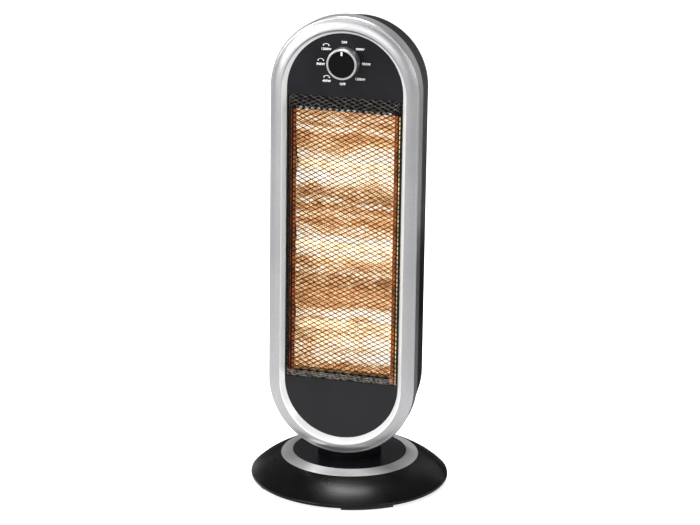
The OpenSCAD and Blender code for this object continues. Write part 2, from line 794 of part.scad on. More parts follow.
pivot_r = pivot_d / 2;
pivot_bore_r = pivot_r - pivot_wall;
flange_r = pivot_r + pivot_flange_w;
flange_t = 2;
neck_post_r = flange_r + boss_r + 1.3;
neck_post_turn = 27;
neck_screw_x = neck_post_r * cos(neck_post_turn);
neck_screw_y = neck_post_r * sin(neck_post_turn);
seat_lift = 0.3;
seat_r = screw_head_d / 2 + 1;
neck_screw_z = end_z + seat_lift - sqrt(pow(shell_r_at(neck_screw_y + screw_head_d / 2) - shell_wall, 2)
    - pow(neck_screw_x + screw_head_d / 2, 2));
pivot_screw_r = (pivot_r + flange_r) / 2;
pivot_screws_n = 3;
pivot_screw_turn = 30;
throat_r = pivot_r - 6;
throat_l = 5;
sector_screw_d = 2.4;
sector_screw_r = (throat_r + pivot_r) / 2;
sector_head_r = 0.9 * sector_screw_d;
sector_head_t = 1.5;
sector_bite = 3.9;

module at_neck_screws()
    for (side = [-1, 1]) translate([side * neck_screw_x, neck_screw_y, 0]) children();

module at_pivot_screws(r)
    round_axis(pivot_screws_n, pivot_screw_turn) translate([r, 0, 0]) children();

// A short column whose saddle carries the head
module neck() {
    neck_r = neck_d / 2;
    color("#141416") difference() {
        union() {
            post(neck_r, neck_z, neck_floor_z);
            tube(neck_r, neck_r - neck_wall, neck_z, end_z - shell_back_r / 2);
            at_neck_screws() post(boss_r, neck_z, end_z - shell_back_r / 2);
        }
        head_end(-fixed_fit);
        post(pivot_r + fixed_fit, neck_z - over, neck_floor_z + over);
        at_neck_screws() post(screw_hole_r, neck_floor_z, end_z);
        at_pivot_screws(pivot_screw_r) post(screw_hole_r, neck_z + air_gap, neck_floor_z + over);
    }
}

module neck_screws()
    color("#8a8a8c") at_neck_screws()
        screw_down(neck_screw_z, neck_screw_z - neck_floor_z - neck_wall);

// A flanged tube: the head's axle, with the wires passing through it
module pivot_tube()
    color("#d8d4c8") difference() {
        rotate_extrude() polygon([
            [pivot_bore_r, neck_floor_z + flange_t], [flange_r, neck_floor_z + flange_t],
            [flange_r, neck_floor_z], [pivot_r, neck_floor_z], [pivot_r, gear_top], [throat_r, gear_top],
            [throat_r, gear_top + throat_l], [pivot_bore_r, gear_top + throat_l + pivot_bore_r - throat_r]]);
        at_pivot_screws(pivot_screw_r)
            post(screw_hole_r, neck_floor_z - over, neck_floor_z + flange_t + over);
        at_pivot_screws(sector_screw_r)
            post(sector_screw_d / 2 + fixed_fit, gear_top - over, gear_top + sector_bite);
    }

module pivot_screws()
    color("#8a8a8c") at_pivot_screws(pivot_screw_r)
        screw_down(neck_floor_z + flange_t, flange_t + neck_wall - air_gap - fixed_fit);

// ---------------------------------------------------------------- swing drive

pinion_r = tooth_m * pinion_teeth / 2;
sector_r = tooth_m * sector_teeth / 2;
motor_y = pinion_r + sector_r;
tooth_tip = 0.95 * tooth_m;
tooth_root = 1.25 * tooth_m;
flank_steps = 4;
swing_spare = 12;
sector_arm = ceil((swing + swing_spare) * sector_teeth / 360);
sector_hub_w = 4;
motor_shaft_r = motor_shaft_d / 2;
motor_bore_l = 7;
motor_post_l = 3.5;
motor_top = ceiling_z - motor_post_l;
ear_x = motor_d / 2 + 5;
ear_r = 4;
ear_t = 1.5;
motor_bite = 2.8;

// Degrees that an involute flank has turned by a radius
function involute(r, base_r) = let (a = acos(min(1, base_r / r))) tan(a) * 180 / PI - a;

function polar(r, a) = [r * cos(a), r * sin(a)];

// One tooth's outline, centred on an angle, from its right root to its left root
function tooth(teeth, at) =
    let (pitch_r = tooth_m * teeth / 2, base_r = pitch_r * cos(tooth_angle),
         half = 90 / teeth - tooth_play / pitch_r * 90 / PI + involute(pitch_r, base_r),
         root_r = pitch_r - tooth_root, low_r = max(base_r, root_r),
         radii = [for (i = [0:flank_steps]) low_r + (pitch_r + tooth_tip - low_r) * i / flank_steps])
    concat([polar(root_r, at - half)], [for (r = radii) polar(r, at - half + involute(r, base_r))],
        [for (r = reversed(radii)) polar(r, at + half - involute(r, base_r))], [polar(root_r, at + half)]);

// A toothed arm under the pivot tube, driven by the pinion behind it
module swing_sector() {
    head_seat = sector_head_t + 0.1;
    color("#c9c5b8") difference() {
        union() {
            translate([0, 0, gear_z]) linear_extrude(gear_t) polygon(concat([[0, 0]],
                [for (i = [-sector_arm:sector_arm]) each tooth(sector_teeth, 90 + i * 360 / sector_teeth)]));
            post(pivot_r + sector_hub_w, gear_z, gear_top);
        }
        post(throat_r, gear_z - over, gear_top + over);
        at_pivot_screws(sector_screw_r) {
            post(sector_screw_d / 2 + fixed_fit, gear_z - over, gear_top + over);
            post(sector_head_r + fixed_fit, gear_z - over, gear_z + head_seat);
        }
    }
}

module sector_screws()
    color("#8a8a8c") at_pivot_screws(sector_screw_r) {
        post(sector_screw_d / 2, gear_z + sector_head_t, gear_top + sector_bite - 0.4);
        post(sector_head_r, gear_z + 0.1, gear_z + sector_head_t + 0.1);
    }

module drive_pinion()
    color("#e6e2d6") translate([0, motor_y, 0]) difference() {
        translate([0, 0, gear_z]) linear_extrude(gear_t) polygon(
            [for (i = [0:pinion_teeth - 1]) each tooth(pinion_teeth, 90 + (i + 0.5) * 360 / pinion_teeth)]);
        post(motor_shaft_r + running_fit, gear_z - over, gear_top + over);
    }

module motor_shaft()
    color("#b0b0b2") translate([0, motor_y, 0])
        post(motor_shaft_r, gear_z, motor_z + motor_bore_l - air_gap);

module swing_motor()
    color("#b8babc") translate([0, motor_y, 0]) difference() {
        union() {
            post(motor_d / 2, motor_z, motor_top);
            block([-ear_x, -ear_r, motor_top - ear_t], [ear_x, ear_r, motor_top]);
            for (side = [-1, 1]) translate([side * ear_x, 0, 0]) post(ear_r, motor_top - ear_t, motor_top);
        }
        post(motor_shaft_r + running_fit, motor_z - over, motor_z + motor_bore_l);
        for (side = [-1, 1]) translate([side * ear_x, 0, 0])
            post(screw_hole_r, motor_top - ear_t - over, motor_top + over);
    }

module at_motor_screws()
    for (side = [-1, 1]) translate([side * ear_x, motor_y, 0]) children();

module motor_screws()
    color("#8a8a8c") at_motor_screws() translate([0, 0, motor_top - ear_t]) screw(ear_t + motor_bite);

// ---------------------------------------------------------------- base

base_r = base_d / 2;
edge_in = 2.3;
foot_r = base_r - edge_in;
ring_r = ring_d / 2;
bore_r = ring_r - ring_w;
seat_r_out = ring_r + fixed_fit;
ring_z = disc_top - ring_fall;
ring_chamfer = 0.6;
hub_r = pivot_r + 6;
hub_z = gear_top + air_gap;
base_screw_r = base_r - 25;
gland_r = gland_bore / 2 + gland_wall;
gland_flange_w = 1.2;
gland_flange_r = gland_r + gland_flange_w;
gland_flange_t = 2;
gland_z = plate_top + gland_flange_r + 0.3;
gland_in = base_r - 25;
gland_out = base_r - 0.7;
pad_margin = 1.5;
bosses = 4;

// The dome's outline from the trim ring's edge round the rim to the lower edge
function dome_curve(inset) =
    let (rim = [base_r - rim_r, foot_h + rim_r * 0.95], edge_a = 30,
         start = [seat_r_out - inset * 0.4, ring_z - inset],
         end = rim + (rim_r - inset * 0.9) * [cos(edge_a), sin(edge_a)])
    crowned(start, end, dome_crown, 10);

function dome_outline() = concat(
    [[bore_r, deck_z], [seat_r_out, ring_z - disc_t], [seat_r_out, ring_z]], dome_curve(0),
    arc(base_r - rim_r, foot_h + rim_r * 0.95, rim_r, 25, -50, 5), [[foot_r - rim_r / 2, foot_h]]);

// Everything that lies inside the base cover's outer surface
module dome_body()
    rotate_extrude() polygon(concat([[0, foot_h], [0, deck_z]], dome_outline()));

module at_base_screws()
    round_axis(bosses, foot_turn + 180 / bosses) translate([0, -base_screw_r, 0]) children();

module base_cover()
    color("#161618") difference() {
        union() {
            rotate_extrude() polygon(concat(
                [[pivot_r + running_fit, deck_z]], dome_outline(),
                [[foot_r - rim_r / 2 - cover_wall * 0.8, foot_h]], reversed(dome_curve(cover_wall)),
                [[ring_r - cover_wall / 2, ring_z - disc_t - cover_wall], [bore_r, ceiling_z],
                 [hub_r, ceiling_z], [hub_r, hub_z], [pivot_r + running_fit, hub_z]]));
            intersection() {
                union() {
                    at_base_screws() post(boss_r, plate_top, disc_top);
                    block([-gland_flange_r - over, gland_in + gland_flange_t, plate_top],
                          [gland_flange_r + over, base_r, gland_z + gland_flange_r]);
                }
                dome_body();
            }
            at_motor_screws() post(boss_r, motor_top, ceiling_z + over);
        }
        at_base_screws() post(screw_hole_r, plate_top - over, plate_top + screw_bite + over);
        at_motor_screws() post(screw_hole_r, motor_top - over, motor_top + motor_bite + 0.2);
        translate([0, 0, gland_z]) rod_y(gland_r + fixed_fit, gland_in, base_r + over);
    }

module trim_ring()
    color("#cfcfd1") rotate_extrude() polygon([
        [bore_r + fixed_fit, deck_z], [bore_r + fixed_fit, disc_top - ring_chamfer / 2],
        [bore_r + fixed_fit + ring_chamfer, disc_top], [ring_r - ring_chamfer, ring_z + ring_chamfer / 3],
        [ring_r, ring_z - ring_chamfer], [ring_r, ring_z - disc_t]]);

module deck_disc()
    color("#101014") tube(bore_r - fixed_fit, flange_r + fixed_fit, deck_z, disc_top);

// A low-friction washer that the neck turns on
module bearing_ring()
    color("#e8e4d8") tube(flange_r - fixed_fit, pivot_r + 2 * fixed_fit, deck_z, neck_z - fixed_fit);

module base_plate()
    color("#8e9092") difference() {
        post(foot_r - rim_r / 2 - cover_wall * 0.8 - fixed_fit, foot_h, plate_top);
        at_base_screws() post(screw_hole_r, foot_h - over, plate_top + over);
        at_plunger() post(plunger_d / 2 + air_gap, foot_h - over, plate_top + over);
    }

module foot_pads()
    color("#0e0e0e") round_axis(bosses, foot_turn - 90 - foot_span / 2)
        rotate_extrude(angle = foot_span) translate([foot_r - pad_margin - foot_w, 0])
            square([foot_w, foot_h]);

module base_screws()
    color("#8a8a8c") at_base_screws() translate([0, 0, foot_h]) screw(plate_t + screw_bite);

// ---------------------------------------------------------------- tip-over switch

guide_l = 5.5;
guide_wall = 2;
guide_top = plate_top + guide_l;
collar_z = guide_top + plunger_travel + 0.3;
collar_t = 1.5;
collar_r = spring_d / 2 + 0.8;
spring_wire = 0.9;
switch_half_w = 11;
switch_half_d = 6.5;
tip_switch_h = 6;
tip_switch_z = ceiling_z - tip_switch_h;

module at_plunger()
    rotate([0, 0, -plunger_turn]) translate([0, switch_half_d + 1.5 - bore_r, 0]) children();

module plunger_guide()
    color("#2a2a2c") at_plunger()
        tube(plunger_d / 2 + guide_wall, plunger_d / 2 + running_fit, plate_top, guide_top);

module tip_plunger()
    color("#d8d8d4") at_plunger() {
        post(plunger_d / 2, 0, collar_z + collar_t);
        post(collar_r, collar_z, collar_z + collar_t);
    }

module plunger_spring()
    color("#9a9a9c") at_plunger()
        tube(spring_d / 2, spring_d / 2 - spring_wire, collar_z + collar_t, tip_switch_z);

module tip_switch()
    color("#34343a") at_plunger()
        block([-switch_half_w, -switch_half_d, tip_switch_z], [switch_half_w, switch_half_d, ceiling_z]);

// ---------------------------------------------------------------- cord inlet

module cord_gland()
    color("#101012") translate([0, 0, gland_z]) difference() {
        union() {
            rod_y(gland_r, gland_in, gland_out);
            rod_y(gland_flange_r, gland_in, gland_in + gland_flange_t);
        }
        rod_y(gland_bore / 2, gland_in - over, gland_out + over);
    }

terminal = [26, 13, 9];
terminal_clear = 12;
terminal_turn = 49.3;
terminal_at = (base_r - terminal_clear) * [cos(terminal_turn), sin(terminal_turn)] - [terminal[0], terminal[1]];
pole_r = 1.7;
pole_depth = 5;

module mains_terminal()
    color("#e4e2da") translate([terminal_at[0], terminal_at[1], plate_top]) difference() {
        cube(terminal);
        for (i = [0:2]) translate([(i + 0.5) * terminal[0] / 3, terminal[1] / 2, 0])
            post(pole_r, terminal[2] - pole_depth, terminal[2] + over);
    }

front_bezel();
front_panel();
mesh_guard();
reflector();
lamp_frame();
heat_shield();
quartz_tube(tube_levels[0]);  // quartz_tube_upper
quartz_tube(tube_levels[1]);  // quartz_tube_middle
quartz_tube(tube_levels[2]);  // quartz_tube_lower
filament(tube_levels[0]);  // filament_upper
filament(tube_levels[1]);  // filament_middle
filament(tube_levels[2]);  // filament_lower
ceramic_caps();
lamp_clips();
thermal_cutout();
rear_shell();
shell_screws();
bezel_screws();
frame_screws();
rotary_switch();
switch_nut();
switch_leads();
neck();
neck_screws();
pivot_tube();
pivot_screws();
swing_sector();
sector_screws();
knob();
knob_rim();
knob_pointer();
switch_shaft();
base_cover();
trim_ring();
deck_disc();
bearing_ring();
base_plate();
foot_pads();
base_screws();
swing_motor();
motor_screws();
drive_pinion();
motor_shaft();
tip_switch();
plunger_guide();
tip_plunger();
plunger_spring();
cord_gland();
mains_terminal();
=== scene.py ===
"""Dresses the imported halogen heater: finishes for every part, and the fine pieces that the frame leaves plain."""
from __future__ import annotations

import json
import logging
import math
from collections import Counter
from dataclasses import dataclass, field
from enum import Enum

import bpy
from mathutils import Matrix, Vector

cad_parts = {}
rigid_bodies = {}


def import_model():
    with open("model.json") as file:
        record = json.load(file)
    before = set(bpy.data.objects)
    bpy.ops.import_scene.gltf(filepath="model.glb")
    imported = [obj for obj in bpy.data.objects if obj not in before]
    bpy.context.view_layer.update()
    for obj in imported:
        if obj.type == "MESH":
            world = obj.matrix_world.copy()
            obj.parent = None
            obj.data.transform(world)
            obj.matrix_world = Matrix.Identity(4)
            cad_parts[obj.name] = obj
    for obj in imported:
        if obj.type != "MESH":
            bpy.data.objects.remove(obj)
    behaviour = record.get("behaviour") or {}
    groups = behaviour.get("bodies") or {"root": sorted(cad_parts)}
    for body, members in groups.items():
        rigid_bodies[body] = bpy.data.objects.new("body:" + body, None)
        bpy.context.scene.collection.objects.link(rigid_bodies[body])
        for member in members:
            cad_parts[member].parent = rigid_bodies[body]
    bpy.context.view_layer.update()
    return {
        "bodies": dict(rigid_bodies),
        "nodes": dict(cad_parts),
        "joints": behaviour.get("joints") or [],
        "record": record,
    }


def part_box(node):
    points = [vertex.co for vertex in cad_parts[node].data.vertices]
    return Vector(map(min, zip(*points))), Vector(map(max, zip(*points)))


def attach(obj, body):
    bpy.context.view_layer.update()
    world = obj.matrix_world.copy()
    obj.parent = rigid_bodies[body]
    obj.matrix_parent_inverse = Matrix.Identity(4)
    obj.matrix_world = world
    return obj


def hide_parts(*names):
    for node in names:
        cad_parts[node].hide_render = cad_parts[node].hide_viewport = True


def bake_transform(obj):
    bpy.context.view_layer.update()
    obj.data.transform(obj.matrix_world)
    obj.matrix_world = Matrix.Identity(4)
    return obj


LOG = logging.getLogger("heater")
Node, Piece, Material = bpy.types.Node, bpy.types.Object, bpy.types.Material
Pair, Triple = tuple[float, float], tuple[float, float, float]
MM = 0.001
WHITE = "#ffffff"
WINDOW_LEVEL = 298.35  # height of the window's middle, in millimetres
BEZEL_STRAIGHT = 341.8  # length of the bezel's straight sides, in millimetres
UPRIGHT = (math.pi / 2, 0, 0)  # stands a flat shape up, with its face to the front


def linear(colour: str) -> tuple[float, float, float, float]:
    """Turns an sRGB hex colour into linear light.

    Args:
        colour: the colour as "#rrggbb".

    Returns:
        Red, green, blue and an alpha of 1.
    """
    parts = [int(colour[i:i + 2], 16) / 255 for i in (1, 3, 5)]
    light = [c / 12.92 if c <= 0.04045 else ((c + 0.055) / 1.055) ** 2.4 for c in parts]
    return light[0], light[1], light[2], 1.0


def per_mm(size: float) -> float:
    """Returns the texture scale whose features are about the given number of millimetres."""
    return 1.0 / (size * MM)


def assign(target: object, **values: object) -> None:
    """Sets attributes on an object, a modifier or a data block."""
    for name, value in values.items():
        setattr(target, name, value)


def set_stops(ramp: Node, stops: list[tuple[float, str]]) -> None:
    """Fills a colour ramp.

    Args:
        ramp: the ramp's node.
        stops: places from 0 to 1 with hex colours.
    """
    elements = ramp.color_ramp.elements
    while len(elements) < len(stops):
        elements.new(0.5)
    for element, (place, _) in zip(elements, stops):
        element.position = place
    for element, (_, colour) in zip(elements, stops):
        element.color = linear(colour)


class Net:
    """The node tree of one material or of the world.

    Every pattern is drawn on `place`, the object's own coordinates, or on their parts `x`, `y` and `z`.
    """

    def __init__(self, owner: Material | bpy.types.World) -> None:
        """Empties the owner's tree and starts it with the coordinates."""
        owner.use_nodes = True
        self.tree = owner.node_tree
        self.tree.nodes.clear()
        self.coordinates = self.add("TexCoord")
        self.place = (self.coordinates, "Object")
        split = self.add("SeparateXYZ", [self.place])
        self.x, self.y, self.z = ((split, axis) for axis in "XYZ")

    def add(self, kind: str, inputs: list | dict | tuple = (), stops: list[tuple[float, str]] | None = None,
            **settings: object) -> Node:
        """Adds a node with its settings, its values and its links.

        Args:
            kind: the node's type name, without "ShaderNode".
            inputs: the first sockets' values in order, which for MapRange are the value, the span it comes from and
                the span it goes to, or else socket name to value. A value may be a node, which stands for its first
                output, or a (node, output) pair.
            stops: a colour ramp's places and hex colours.
            settings: attributes of the node.

        Returns:
            The new node.
        """
        node = self.tree.nodes.new(f"ShaderNode{kind}")
        assign(node, **settings)
        if stops:
            set_stops(node, stops)
        for socket, value in inputs.items() if isinstance(inputs, dict) else enumerate(inputs):
            source = value if isinstance(value, tuple) else (value, 0)
            if isinstance(source[0], Node):
                self.tree.links.new(source[0].outputs[source[1]], node.inputs[socket])
            else:
                node.inputs[socket].default_value = value
        return node

    def relief(self, size_mm: float, depth_mm: float, stretch: tuple = (1.0, 1.0, 1.0), **noise: float) -> Node:
        """Raises a fine texture.

        Args:
            size_mm: the size of its features.
            depth_mm: its depth.
            stretch: how the coordinates are scaled before the texture is drawn.
            noise: further values of the noise.

        Returns:
            The bump node, for a shader's normal.
        """
        at = self.add("Mapping", {0: self.place, "Scale": stretch})
        grain = self.add("TexNoise", {"Vector": at, "Scale": per_mm(size_mm), **noise})
        return self.add("Bump", {"Height": grain, "Distance": depth_mm * MM})

    def span(self, source: object, centre_mm: float) -> Node:
        """Returns how far an output lies from a place given in millimetres."""
        away = self.add("Math", [source, centre_mm * MM], operation="SUBTRACT")
        return self.add("Math", [away], operation="ABSOLUTE")

    def chain(self, operation: str, outputs: list) -> Node:
        """Joins several outputs in turn by one operation, such as ADD, and returns the result."""
        total = outputs[0]
        for output in outputs[1:]:
            total = self.add("Math", [total, output], operation=operation)
        return total

    def front_only(self, strength: float) -> Node:
        """Returns an emission strength that holds on a sheet's front side and is nothing on its back."""
        facing = self.add("SeparateXYZ", [(self.coordinates, "Normal")])
        front = self.add("Math", [(facing, "Y"), -0.01], operation="LESS_THAN")
        return self.add("Math", [front, strength], operation="MULTIPLY")


@dataclass(frozen=True)
class Finish:
    """A surface as its making leaves it. Each kind of finish wires its own look."""

    name: str

    def wire(self, net: Net) -> Node:
        """Returns the finish's shader."""
        raise NotImplementedError

    def build(self) -> Material:
        """Returns the finish as a material."""
        material = bpy.data.materials.new(self.name)
        net = Net(material)
        net.add("OutputMaterial", [self.wire(net)])
        return material


class Grain(Enum):
    """How a surface's fine texture was made, with the noise detail that suits it."""

    MOULDED = 3.0
    SPARKED = 6.0
    SPRAYED = 1.5


@dataclass(frozen=True)
class Plastic(Finish):
    """Moulded ABS or nylon.

    The mould gives an even colour, and its polish or spark-eroded texture sets how soft the highlights are. Long flow
    waves move the gloss a little from place to place, and handling leaves a faint grey bloom.
    """

    colour: str
    bloom: str
    roughness: float
    grain: Grain = Grain.MOULDED
    grain_mm: float = 0.6
    grain_depth_mm: float = 0.01
    wave_mm: float = 45.0
    wave_depth_mm: float = 0.0
    specular: float = 0.5

    def wire(self, net: Net) -> Node:
        """Returns the finish's shader."""
        wave = net.add("TexNoise", {"Vector": net.place, "Scale": per_mm(self.wave_mm), "Detail": 2.0,
                                    "Roughness": 0.45})
        tone = net.add("ValToRGB", [wave], stops=[(0.35, self.colour), (0.8, self.bloom)])
        gloss = net.add("MapRange", [wave, 0.3, 0.7, self.roughness - 0.03, self.roughness + 0.05])
        bump = net.relief(self.grain_mm, self.grain_depth_mm, Detail=self.grain.value, Roughness=0.6)
        if self.wave_depth_mm:
            bump = net.add("Bump", {"Height": wave, "Distance": self.wave_depth_mm * MM, "Normal": bump})
        return net.add("BsdfPrincipled", {"Base Color": tone, "Roughness": gloss, "IOR": 1.5,
                                          "Specular IOR Level": self.specular, "Normal": bump})


@dataclass(frozen=True)
class Racetrack:
    """The outline of one of the bezel's edges, which bounds a painted highlight: its colour stands in for light the
    edge catches.
    """

    radius_mm: float
    colour: str
    soft_mm: float = 0.35

    def mask(self, net: Net) -> Node:
        """Returns a factor that is 1 inside the racetrack and 0 outside it."""
        past = net.add("Math", [net.span(net.z, WINDOW_LEVEL), BEZEL_STRAIGHT / 2 * MM], operation="SUBTRACT")
        end = net.add("Math", [past, 0.0], operation="MAXIMUM")
        flat = net.add("CombineXYZ", {"X": net.x, "Z": end})
        away = net.add("VectorMath", [flat], operation="LENGTH")
        return net.add("MapRange", [(away, "Value"), (self.radius_mm - self.soft_mm) * MM,
                                    (self.radius_mm + self.soft_mm) * MM, 1.0, 0.0])


@dataclass(frozen=True)
class MetallicPaint(Finish):
    """Silver paint sprayed on moulded plastic.

    Aluminium flakes give a cool silver that is bright where it faces the light. The clear binder over them smooths
    the highlight, and the spray leaves a fine orange peel. The flakes are drawn at 0.4 mm, coarser than life. The
    bezel's inner lip carries a painted highlight, a paler colour that stands in for the light it catches, and its
    front outer corner carries a second painted highlight, a white metallic strip.
    """

    colour: str
    shade: str
    roughness: float = 0.34
    metallic: float = 0.75
    flake_mm: float = 0.4
    peel_mm: float = 1.6
    haze_mm: float = 60.0
    lip_highlight: Racetrack | None = None
    corner_highlight: Racetrack | None = None
    corner_y_mm: float = -45.4

    def corner_highlight_mask(self, net: Net) -> Node:
        """Returns a factor that is 1 on the front outer corner, where its painted highlight lies."""
        front = net.add("MapRange", [net.y, (self.corner_y_mm - 0.4) * MM, self.corner_y_mm * MM, 1.0, 0.0])
        outer = net.add("Math", [1.0, self.corner_highlight.mask(net)], operation="SUBTRACT")
        return net.add("Math", [outer, front], operation="MULTIPLY")

    def wire(self, net: Net) -> Node:
        """Returns the finish's shader."""
        flake = net.add("TexVoronoi", {"Vector": net.place, "Scale": per_mm(self.flake_mm)})
        haze = net.add("TexNoise", {"Vector": net.place, "Scale": per_mm(self.haze_mm)})
        spark = net.add("SeparateColor", [(flake, "Color")])
        mixed = net.add("Math", [spark, haze], operation="MULTIPLY")
        tone = net.add("ValToRGB", [mixed], stops=[(0.0, self.shade), (0.45, self.colour)])
        gloss = net.add("MapRange", [haze, 0.0, 1.0, self.roughness - 0.04, self.roughness + 0.06])
        shader = net.add("BsdfPrincipled", {
            "Base Color": tone, "Metallic": self.metallic, "Roughness": gloss, "Coat Weight": 0.25,
            "Coat Roughness": 0.15, "Normal": net.relief(self.peel_mm, 0.012, Detail=Grain.SPRAYED.value)})
        # painted highlight: a paler, glossier colour on the inner lip in place of the light it catches
        if self.lip_highlight:
            bright = net.add("BsdfPrincipled", {"Base Color": linear(self.lip_highlight.colour), "Metallic": 0.1,
                                                "Roughness": 0.22, "Coat Weight": 0.5, "Coat Roughness": 0.08})
            shader = net.add("MixShader", [self.lip_highlight.mask(net), shader, bright])
        # painted highlight: a white metallic strip along the front outer corner
        if self.corner_highlight:
            painted_corner_shine = net.add("BsdfPrincipled", {"Base Color": linear(self.corner_highlight.colour), "Metallic": 0.9,
                                                "Roughness": 0.25})
            shader = net.add("MixShader", [self.corner_highlight_mask(net), shader, painted_corner_shine])
        return shader


@dataclass(frozen=True)
class Metal(Finish):
    """Bare or plated metal sheet and turned parts.

    Rolling or turning leaves fine lines along one direction, drawn here at their spacing across it, and zinc or
    handling adds cloudy patches that change the gloss.
    """

    colour: str
    shade: str
    roughness: float
    line_mm: float = 0.5
    line_axis: Triple = (0.04, 1.0, 1.0)
    cloud_mm: float = 9.0

    def wire(self, net: Net) -> Node:
        """Returns the finish's shader."""
        stretched = net.add("Mapping", {0: net.place, "Scale": self.line_axis})
        lines = net.add("TexNoise", {"Vector": stretched, "Scale": per_mm(self.line_mm), "Detail": 3.0})
        cloud = net.add("TexNoise", {"Vector": net.place, "Scale": per_mm(self.cloud_mm), "Detail": 4.0})
        both = net.add("Math", [lines, cloud], operation="MULTIPLY")
        tone = net.add("ValToRGB", [both], stops=[(0.1, self.shade), (0.4, self.colour)])
        gloss = net.add("MapRange", [cloud, 0.3, 0.7, self.roughness - 0.06, self.roughness + 0.08])
        bump = net.add("Bump", {"Height": lines, "Distance": 0.006 * MM})
        return net.add("BsdfPrincipled", {"Base Color": tone, "Metallic": 1.0, "Roughness": gloss, "Normal": bump})


@dataclass(frozen=True)
class GlowBand:
    """One bright band of painted lamp reflection on the reflector, drawn as emission.

    A `lean` above 0 takes that share of the light off its left end, and one below 0 off its right end.
    """

    level_mm: float
    half_mm: float
    strength: float
    lean: float = 0.0


@dataclass(frozen=True)
class GlowingReflector(Finish):
    """Bright-rolled aluminium behind lit lamps.

    The sheet's copper tint and all of its glow are painted lamp light. Each trough shows its lamp as a painted
    reflection, a broad near-white band of emission, with thinner painted bands for the second reflections and a dull
    copper, painted shade, at the folds. The bands wander and break into patches as if the thin sheet were dented,
    and the guard's reflection is painted over them as a faint second lattice.
    """

    bands: tuple[GlowBand, ...]
    shadow: str = "#7d4a24"
    dull: str = "#d8a06c"
    amber: str = "#f5d3a6"
    bright: str = "#fffbf3"
    wander_mm: float = 7.0
    cell_mm: Pair = (9.4, 5.1)
    half_width_mm: float = 45.0
    image_depth: float = 0.85
    image_sway: float = 0.35
    sheet: str = "#8f7358"
    power: float = 1.12

    def guard_reflection(self, net: Net, level: Node) -> Node:
        """Paints the guard's reflection into the sheet's glow.

        Args:
            net: the tree.
            level: the height, shifted so that the painted bands wander.

        Returns:
            A factor that is 1 on the image's crossed strands and 0 between them.
        """
        across = net.add("Math", [net.x, per_mm(self.cell_mm[0])], operation="MULTIPLY")
        swaying = net.add("Math", [level, self.image_sway], operation="MULTIPLY")
        still = net.add("Math", [net.z, 1.0 - self.image_sway], operation="MULTIPLY")
        both = net.add("Math", [swaying, still], operation="ADD")
        rise = net.add("Math", [both, per_mm(self.cell_mm[1])], operation="MULTIPLY")
        lines = []
        for way in ("ADD", "SUBTRACT"):
            slope = net.add("Math", [across, rise], operation=way)
            wave = net.add("Math", [slope, 0.5], operation="PINGPONG")
            lines.append(net.add("MapRange", [wave, 0.02, 0.14, 1.0, 0.0]))
        return net.chain("MAXIMUM", lines)

    def band_light(self, net: Net, band: GlowBand, level: Node) -> Node:
        """Paints one band of lamp reflection.

        Args:
            net: the tree.
            band: the band.
            level: the height, shifted so that the painted bands wander.

        Returns:
            The band's light, which fades softly above and below its middle.
        """
        light = net.add("MapRange", [net.span(level, band.level_mm), band.half_mm * MM * 0.2, band.half_mm * MM * 1.6,
                                     band.strength, 0.0], interpolation_type="SMOOTHSTEP")
        share = net.add("MapRange", [net.x, -self.half_width_mm * MM, self.half_width_mm * MM,
                                     min(1.0, 1.0 - band.lean), min(1.0, 1.0 + band.lean)])
        return net.add("Math", [light, share], operation="MULTIPLY")

    def wire(self, net: Net) -> Node:
        """Returns the finish's shader."""
        # the painted bands wander along this noise, as if the sheet were dented
        band_wander = net.add("Mapping", {0: net.place, "Scale": (1.0, 0.0, 2.0)})
        ripple = net.add("TexNoise", {"Vector": band_wander, "Scale": per_mm(55.0), "Detail": 3.0, "Roughness": 0.55})
        patch = net.add("TexNoise", {"Vector": band_wander, "Scale": per_mm(24.0), "Detail": 4.0, "Roughness": 0.65,
                                     "Distortion": 0.8})
        shift = net.add("MapRange", [ripple, 0.25, 0.75, -self.wander_mm * MM, self.wander_mm * MM])
        level = net.add("Math", [net.z, shift], operation="ADD")
        total = net.chain("MAXIMUM", [self.band_light(net, band, level) for band in self.bands])
        # painted light: patches and speckle in the glow, darkened where the guard's painted reflection lies
        uneven = net.add("MapRange", [patch, 0.3, 0.7, -0.45, 0.4])
        dots = net.add("TexNoise", {"Vector": net.place, "Scale": per_mm(1.7), "Detail": 2.0})
        speckle = net.add("MapRange", [dots, 0.3, 0.7, -0.36, 0.42])
        dim = net.add("Math", [self.guard_reflection(net, level), -self.image_depth], operation="MULTIPLY")
        light = net.chain("ADD", [total, uneven, speckle, dim])
        lifted = net.add("MapRange", [light, -0.5, 1.1])
        glow = net.add("ValToRGB", [lifted], stops=[(0.0, self.shadow), (0.3, self.dull), (0.52, self.amber),
                                                    (0.78, self.bright)])
        # the glow is emission on the sheet's front, painted lamp reflections, and the copper base colour is painted
        # lamp light
        return net.add("BsdfPrincipled", {
            "Base Color": linear(self.sheet), "Metallic": 1.0, "Roughness": 0.38,
            "Normal": net.relief(0.8, 0.01, (0.05, 1.0, 1.0)), "Emission Color": glow,
            "Emission Strength": net.front_only(self.power)})


@dataclass(frozen=True)
class HotWire(Finish):
    """Tungsten at about 2500 K, coiled and glowing. It is near white at its core, and the turns break the light."""

    name: str = "glowing_tungsten"
    colour: str = "#fff0d4"
    cool: str = "#ffc98a"
    metal: str = "#6b6660"
    strength: float = 0.75

    def wire(self, net: Net) -> Node:
        """Returns the finish's shader."""
        heat = net.add("TexNoise", {"Vector": net.place, "Scale": per_mm(3.0)})
        tone = net.add("ValToRGB", [heat], stops=[(0.3, self.cool), (0.6, self.colour)])
        return net.add("BsdfPrincipled", {"Base Color": linear(self.metal), "Metallic": 1.0, "Roughness": 0.4,
                                          "Emission Color": tone, "Emission Strength": self.strength})


